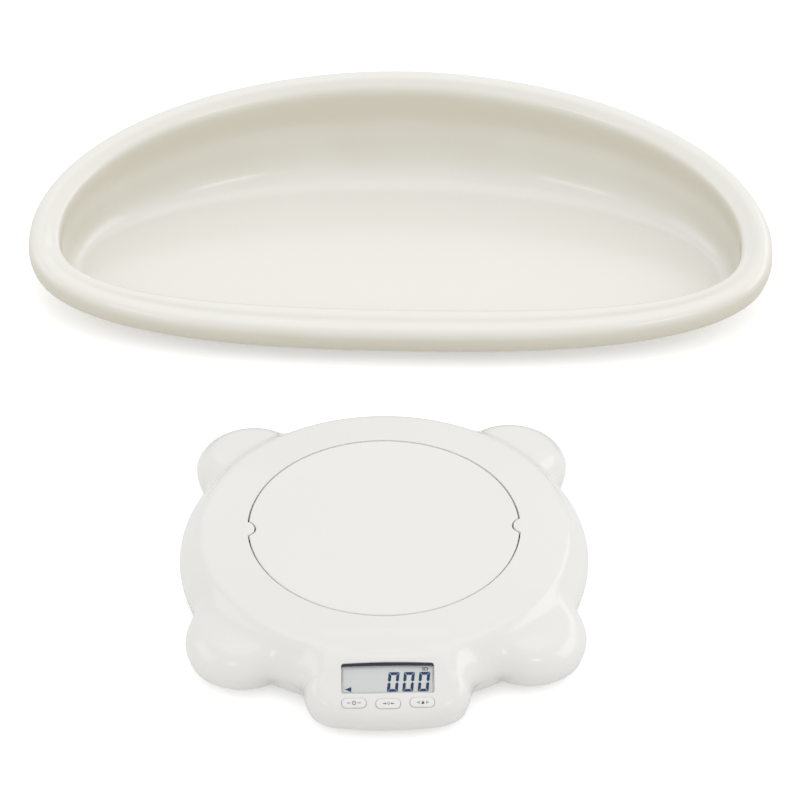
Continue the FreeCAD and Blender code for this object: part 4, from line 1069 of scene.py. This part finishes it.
def tinted(tree, shader, source, first, second):
    """Colour that wanders between two near tones; on the tray the share also paints shade, darker
    where the surface faces sideways or down.
    """
    mix = tree.nodes.new("ShaderNodeMix")
    mix.data_type = "RGBA"
    set_inputs(mix, {6: (*first, 1), 7: (*second, 1)})
    tree.links.new(source, mix.inputs[0])
    tree.links.new(mix.outputs[2], shader.inputs["Base Color"])


def bumped(tree, shader, source, strength, distance):
    """A relief of some depth in metres."""
    bump = tree.nodes.new("ShaderNodeBump")
    set_inputs(bump, {"Strength": strength, "Distance": distance})
    tree.links.new(source, bump.inputs["Height"])
    tree.links.new(bump.outputs["Normal"], shader.inputs["Normal"])


TONE_SCALE = 7
PATCH_SCALE = 16
RELIEF_STRENGTH = 0.6
COAT_ROUGHNESS = 0.11
COAT_IOR = 1.5


def surface(name, first, second, roughness, grain, depth, metallic=0.0, coat=0.0, stretch=None):
    """A procedural surface: two tones, a roughness range and a fine relief."""
    material, tree, shader = new_material(name)
    set_inputs(shader, {"Metallic": metallic, "Coat Weight": coat,
                        "Coat Roughness": COAT_ROUGHNESS, "Coat IOR": COAT_IOR})
    tinted(tree, shader, spread(tree, noise(tree, TONE_SCALE, 2), 0, 1), first, second)
    patches = noise(tree, PATCH_SCALE, 2, stretch)
    tree.links.new(spread(tree, patches, *roughness), shader.inputs["Roughness"])
    bumped(tree, shader, noise(tree, grain, 3, stretch), RELIEF_STRENGTH, depth)
    return material


# painted shade and light on the tray: a darker, browner tone for faces turned sideways or down, a
# lighter one for faces turned up
TRAY_PAINTED_SHADE_TONE = (0.69, 0.655, 0.545)
TRAY_PAINTED_LIGHT_TONE = (0.868, 0.853, 0.797)
TRAY_ROUGHNESS = (0.3, 0.36)
TRAY_GRAIN = 260
TRAY_RELIEF = 4e-6
TRAY_TONE_WANDER = 0.12
TRAY_COAT = {"Coat Weight": 1.0, "Coat Roughness": 0.12, "Coat IOR": 1.55}


def tray_surface():
    """Glossy ivory plastic with painted shade: darker and browner where the surface faces sideways
    or down, as where the wall is steep, and lighter where it lies flat and faces up.
    """
    material, tree, shader = new_material("tray_gloss_painted_shade")
    set_inputs(shader, TRAY_COAT)
    # painted shade: the height of the surface normal, with a little random wander, chooses between
    # the two tones
    shape = tree.nodes.new("ShaderNodeNewGeometry")
    parts = tree.nodes.new("ShaderNodeSeparateXYZ")
    tree.links.new(shape.outputs["Normal"], parts.inputs["Vector"])
    patches = tree.nodes.new("ShaderNodeMath")
    patches.operation = "MULTIPLY_ADD"
    set_inputs(patches, {1: TRAY_TONE_WANDER})
    tree.links.new(spread(tree, noise(tree, TONE_SCALE, 2), -1, 1), patches.inputs[0])
    tree.links.new(parts.outputs["Z"], patches.inputs[2])
    facing = spread(tree, patches.outputs["Value"], 0, 1)
    tinted(tree, shader, facing, TRAY_PAINTED_SHADE_TONE, TRAY_PAINTED_LIGHT_TONE)
    roughness = spread(tree, noise(tree, PATCH_SCALE, 2), *TRAY_ROUGHNESS)
    tree.links.new(roughness, shader.inputs["Roughness"])
    bumped(tree, shader, noise(tree, TRAY_GRAIN, 3), RELIEF_STRENGTH, TRAY_RELIEF)
    return material


GLASS = {"Specular IOR Level": 0.12, "Base Color": (0.06, 0.08, 0.1, 1), "Alpha": 0.06}


def glass():
    """The clear pane: nearly invisible, with a weak dark reflection and faint wear."""
    material, tree, shader = new_material("clear_window")
    set_inputs(shader, GLASS)
    tree.links.new(spread(tree, noise(tree, 60, 4), 0.01, 0.05), shader.inputs["Roughness"])
    bumped(tree, shader, noise(tree, 220, 2), 0.15, 0.00002)
    return material


# for each slot: name, two tones, roughness range, noise scale of the relief per metre, its depth
# in metres, and what else the surface has
SURFACES = {
    "housing_plastic": ("housing_abs", (0.822, 0.814, 0.786), (0.836, 0.828, 0.8),
        (0.3, 0.34), 420, 4e-6, {"coat": 1.0}),
    "platform_plastic": ("platform_abs", (0.824, 0.816, 0.788), (0.838, 0.83, 0.802),
        (0.3, 0.34), 440, 4e-6, {"coat": 1.0}),
    "key_plastic": ("key_satin", (0.82, 0.82, 0.81), (0.85, 0.85, 0.84),
        (0.3, 0.42), 2600, 3e-5, {}),
    "rubber": ("grey_rubber", (0.25, 0.25, 0.24), (0.3, 0.3, 0.29),
        (0.6, 0.8), 2200, 12e-5, {}),
    "zebra_rubber": ("layered_rubber", (0.55, 0.2, 0.24), (0.1, 0.05, 0.05),
        (0.5, 0.7), 3000, 4e-5, {"stretch": (40, 1, 1)}),
    "lcd": ("liquid_crystal_panel", (0.84, 0.842, 0.838), (0.87, 0.872, 0.868),
        (0.22, 0.3), 1800, 1e-5, {}),
    "frame_plastic": ("dark_frame", (0.012, 0.015, 0.03), (0.02, 0.024, 0.04),
        (0.4, 0.55), 2000, 4e-5, {}),
    "board": ("green_board", (0.01, 0.09, 0.03), (0.016, 0.12, 0.045),
        (0.3, 0.45), 1800, 5e-5, {}),
    "chip": ("black_moulding", (0.012, 0.012, 0.012), (0.02, 0.02, 0.02),
        (0.5, 0.7), 3000, 5e-5, {}),
    "beam_metal": ("milled_aluminium", (0.62, 0.63, 0.65), (0.7, 0.71, 0.73),
        (0.25, 0.42), 900, 3e-5, {"metallic": 1.0, "stretch": (1, 18, 18)}),
    "steel": ("zinc_steel", (0.5, 0.5, 0.5), (0.62, 0.62, 0.6),
        (0.22, 0.4), 1600, 4e-5, {"metallic": 1.0}),
    "gauge_coat": ("white_silicone", (0.78, 0.78, 0.74), (0.84, 0.84, 0.8),
        (0.4, 0.6), 1300, 1e-4, {}),
    "battery": ("cell_jacket", (0.03, 0.035, 0.05), (0.045, 0.05, 0.07),
        (0.2, 0.3), 900, 2e-5, {"coat": 0.4}),
    "wire": ("wire_sleeve", (0.35, 0.012, 0.012), (0.42, 0.02, 0.02),
        (0.35, 0.5), 2400, 4e-5, {}),
    "ink": ("display_ink", (0.003, 0.042, 0.128), (0.006, 0.052, 0.155),
        (0.35, 0.45), 3000, 1e-5, {}),
    "print": ("grey_print", (0.062, 0.054, 0.042), (0.078, 0.068, 0.054),
        (0.4, 0.55), 3200, 1e-5, {}),
}


def make_materials():
    """One material for each slot, and two more for the printed signs."""
    made = {slot: surface(*facts, **extras) for slot, (*facts, extras) in SURFACES.items()}
    made["tray_plastic"] = tray_surface()
    made["window_glass"] = glass()
    return made


def dress_frame(materials):
    """Gives every CAD node the procedural material of its own slot."""
    slots = {row["node"]: row["material_slot"] for row in frame["record"]["subparts"]}
    for name, node in frame["nodes"].items():
        for slot in node.material_slots:
            slot.material = materials[slots[name]]


# ---- floor, light and camera ----


WHITE = (1, 1, 1, 1)
FLOOR_HALF = 4000
FLOOR_TONE = 0.9
FLOOR_GLOW = 0.4
BOUNCE_HEIGHT = -1
BOUNCE_TONE = 0.93
BOUNCE_GLOW = 0.07


def add_plane(name, height, tone, glow):
    """A wide level plane of one pale tone, which may glow a little."""
    mesh = bmesh.new()
    half = FLOOR_HALF
    corners = [(-half, -half), (half, -half), (half, half), (-half, half)]
    mesh.faces.new([mesh.verts.new((x * MM, y * MM, height * MM)) for x, y in corners])
    plane = object_from(name, mesh)
    material, _, shader = new_material(name + "_paint")
    set_inputs(shader, {"Base Color": (tone, tone, tone, 1), "Roughness": 0.9,
                        "Specular IOR Level": 0.1, "Emission Color": WHITE,
                        "Emission Strength": glow})
    plane.data.materials.append(material)
    return plane


def make_floor():
    """The pale floor as the camera sees it, and just under it the one that gives back light."""
    seen = add_plane("floor", 0, FLOOR_TONE, FLOOR_GLOW)
    seen.visible_diffuse = False
    seen.visible_glossy = False
    giving = add_plane("floor_bounce", BOUNCE_HEIGHT, BOUNCE_TONE, BOUNCE_GLOW)
    giving.visible_camera = False


WORLD_STRENGTH = 0.83
LAMP_TARGET = (0.0, 0.15, 0.0)
# each lamp's name, place, width and depth in metres, and power in watts
LAMPS = (
    ("behind", (0.0, 3.6, 2.9), 4.4, 1.8, 5),
    ("overhead", (0.0, 0.6, 3.6), 3.4, 2.4, 8),
    ("left", (-3.4, 0.2, 1.9), 2.6, 1.8, 8),
    ("right", (3.4, 0.2, 1.9), 2.6, 1.8, 15),
    ("behind_right", (2.8, 2.4, 2.0), 1.8, 1.6, 7),
    ("front_left", (-1.5, -1.9, 2.0), 0.7, 0.4, 1.6),
    ("front_right", (1.2, -2.0, 2.1), 0.7, 0.4, 2.0),
)


def add_area(name, spot, width, depth, power):
    """A soft rectangular lamp that faces the object."""
    lamp = bpy.data.lights.new(name, "AREA")
    lamp.shape = "RECTANGLE"
    lamp.size = width
    lamp.size_y = depth
    lamp.energy = power
    holder = add_object(name, lamp)
    holder.location = spot
    holder.rotation_euler = (Vector(LAMP_TARGET) - Vector(spot)).to_track_quat("-Z", "Y").to_euler()


def make_light():
    """An even bright room, large lamps above, behind and beside, two small ones in front."""
    world = bpy.data.worlds.new("studio")
    world.use_nodes = True
    background = world.node_tree.nodes["Background"]
    set_inputs(background, {"Color": WHITE, "Strength": WORLD_STRENGTH})
    bpy.context.scene.world = world
    for lamp in LAMPS:
        add_area(*lamp)
    bpy.context.scene.view_settings.view_transform = "Standard"


CAMERA_DISTANCE = 6000.0
CAMERA_RISE = math.radians(40)
CAMERA_TURN = math.radians(0.95)
SENSOR_WIDTH = 36
CAMERA_REACH = 50
TARGET_HEIGHT = 58.0
PIXELS_PER_MM = 1.33
PICTURE = 800
TARGET_PIXEL = (383.8, 524.0)


def make_camera():
    """The photograph's view: the base's middle lands on its own pixel."""
    rise = math.cos(CAMERA_RISE)
    sine = math.sin(CAMERA_TURN)
    cosine = math.cos(CAMERA_TURN)
    back = Vector((-sine * rise, -cosine * rise, math.sin(CAMERA_RISE)))
    right = Vector((cosine, -sine, 0))
    up = back.cross(right)
    target = Vector((0, 0, TARGET_HEIGHT))
    aim = target + right * (PICTURE / 2 - TARGET_PIXEL[0]) / PIXELS_PER_MM
    aim += up * (TARGET_PIXEL[1] - PICTURE / 2) / PIXELS_PER_MM
    spot = target + back * CAMERA_DISTANCE
    camera = bpy.data.cameras.new("camera")
    camera.sensor_width = SENSOR_WIDTH
    camera.lens = CAMERA_DISTANCE * PIXELS_PER_MM / PICTURE * camera.sensor_width
    camera.clip_end = CAMERA_REACH
    holder = add_object("camera", camera)
    ahead = (aim - spot).normalized()
    side = ahead.cross(Vector((0, 0, 1))).normalized()
    turn = Matrix((side, side.cross(ahead), -ahead)).transposed()
    holder.matrix_world = Matrix.Translation(spot * MM) @ turn.to_4x4()
    bpy.context.scene.camera = holder


# each key's node in the part and the body that it moves with, from left to right
KEYS = (("key_on_off", "on_off_key"), ("key_tare", "tare_key"), ("key_hold", "hold_key"))


def main():
    """The stage, then the object piece by piece."""
    make_camera()
    make_light()
    make_floor()
    materials = make_materials()
    dress_frame(materials)
    make_top_cover(materials["housing_plastic"])
    make_platform(materials["platform_plastic"])
    make_tray(materials["tray_plastic"])
    make_window(materials["window_glass"])
    make_window_painted_shade_band(materials["frame_plastic"])
    make_display_marks(materials["ink"])
    for (node, body), (across, down) in zip(KEYS, key_places()):
        make_key(node, body, across, down, materials["key_plastic"])
    make_key_marks(materials["print"])


main()
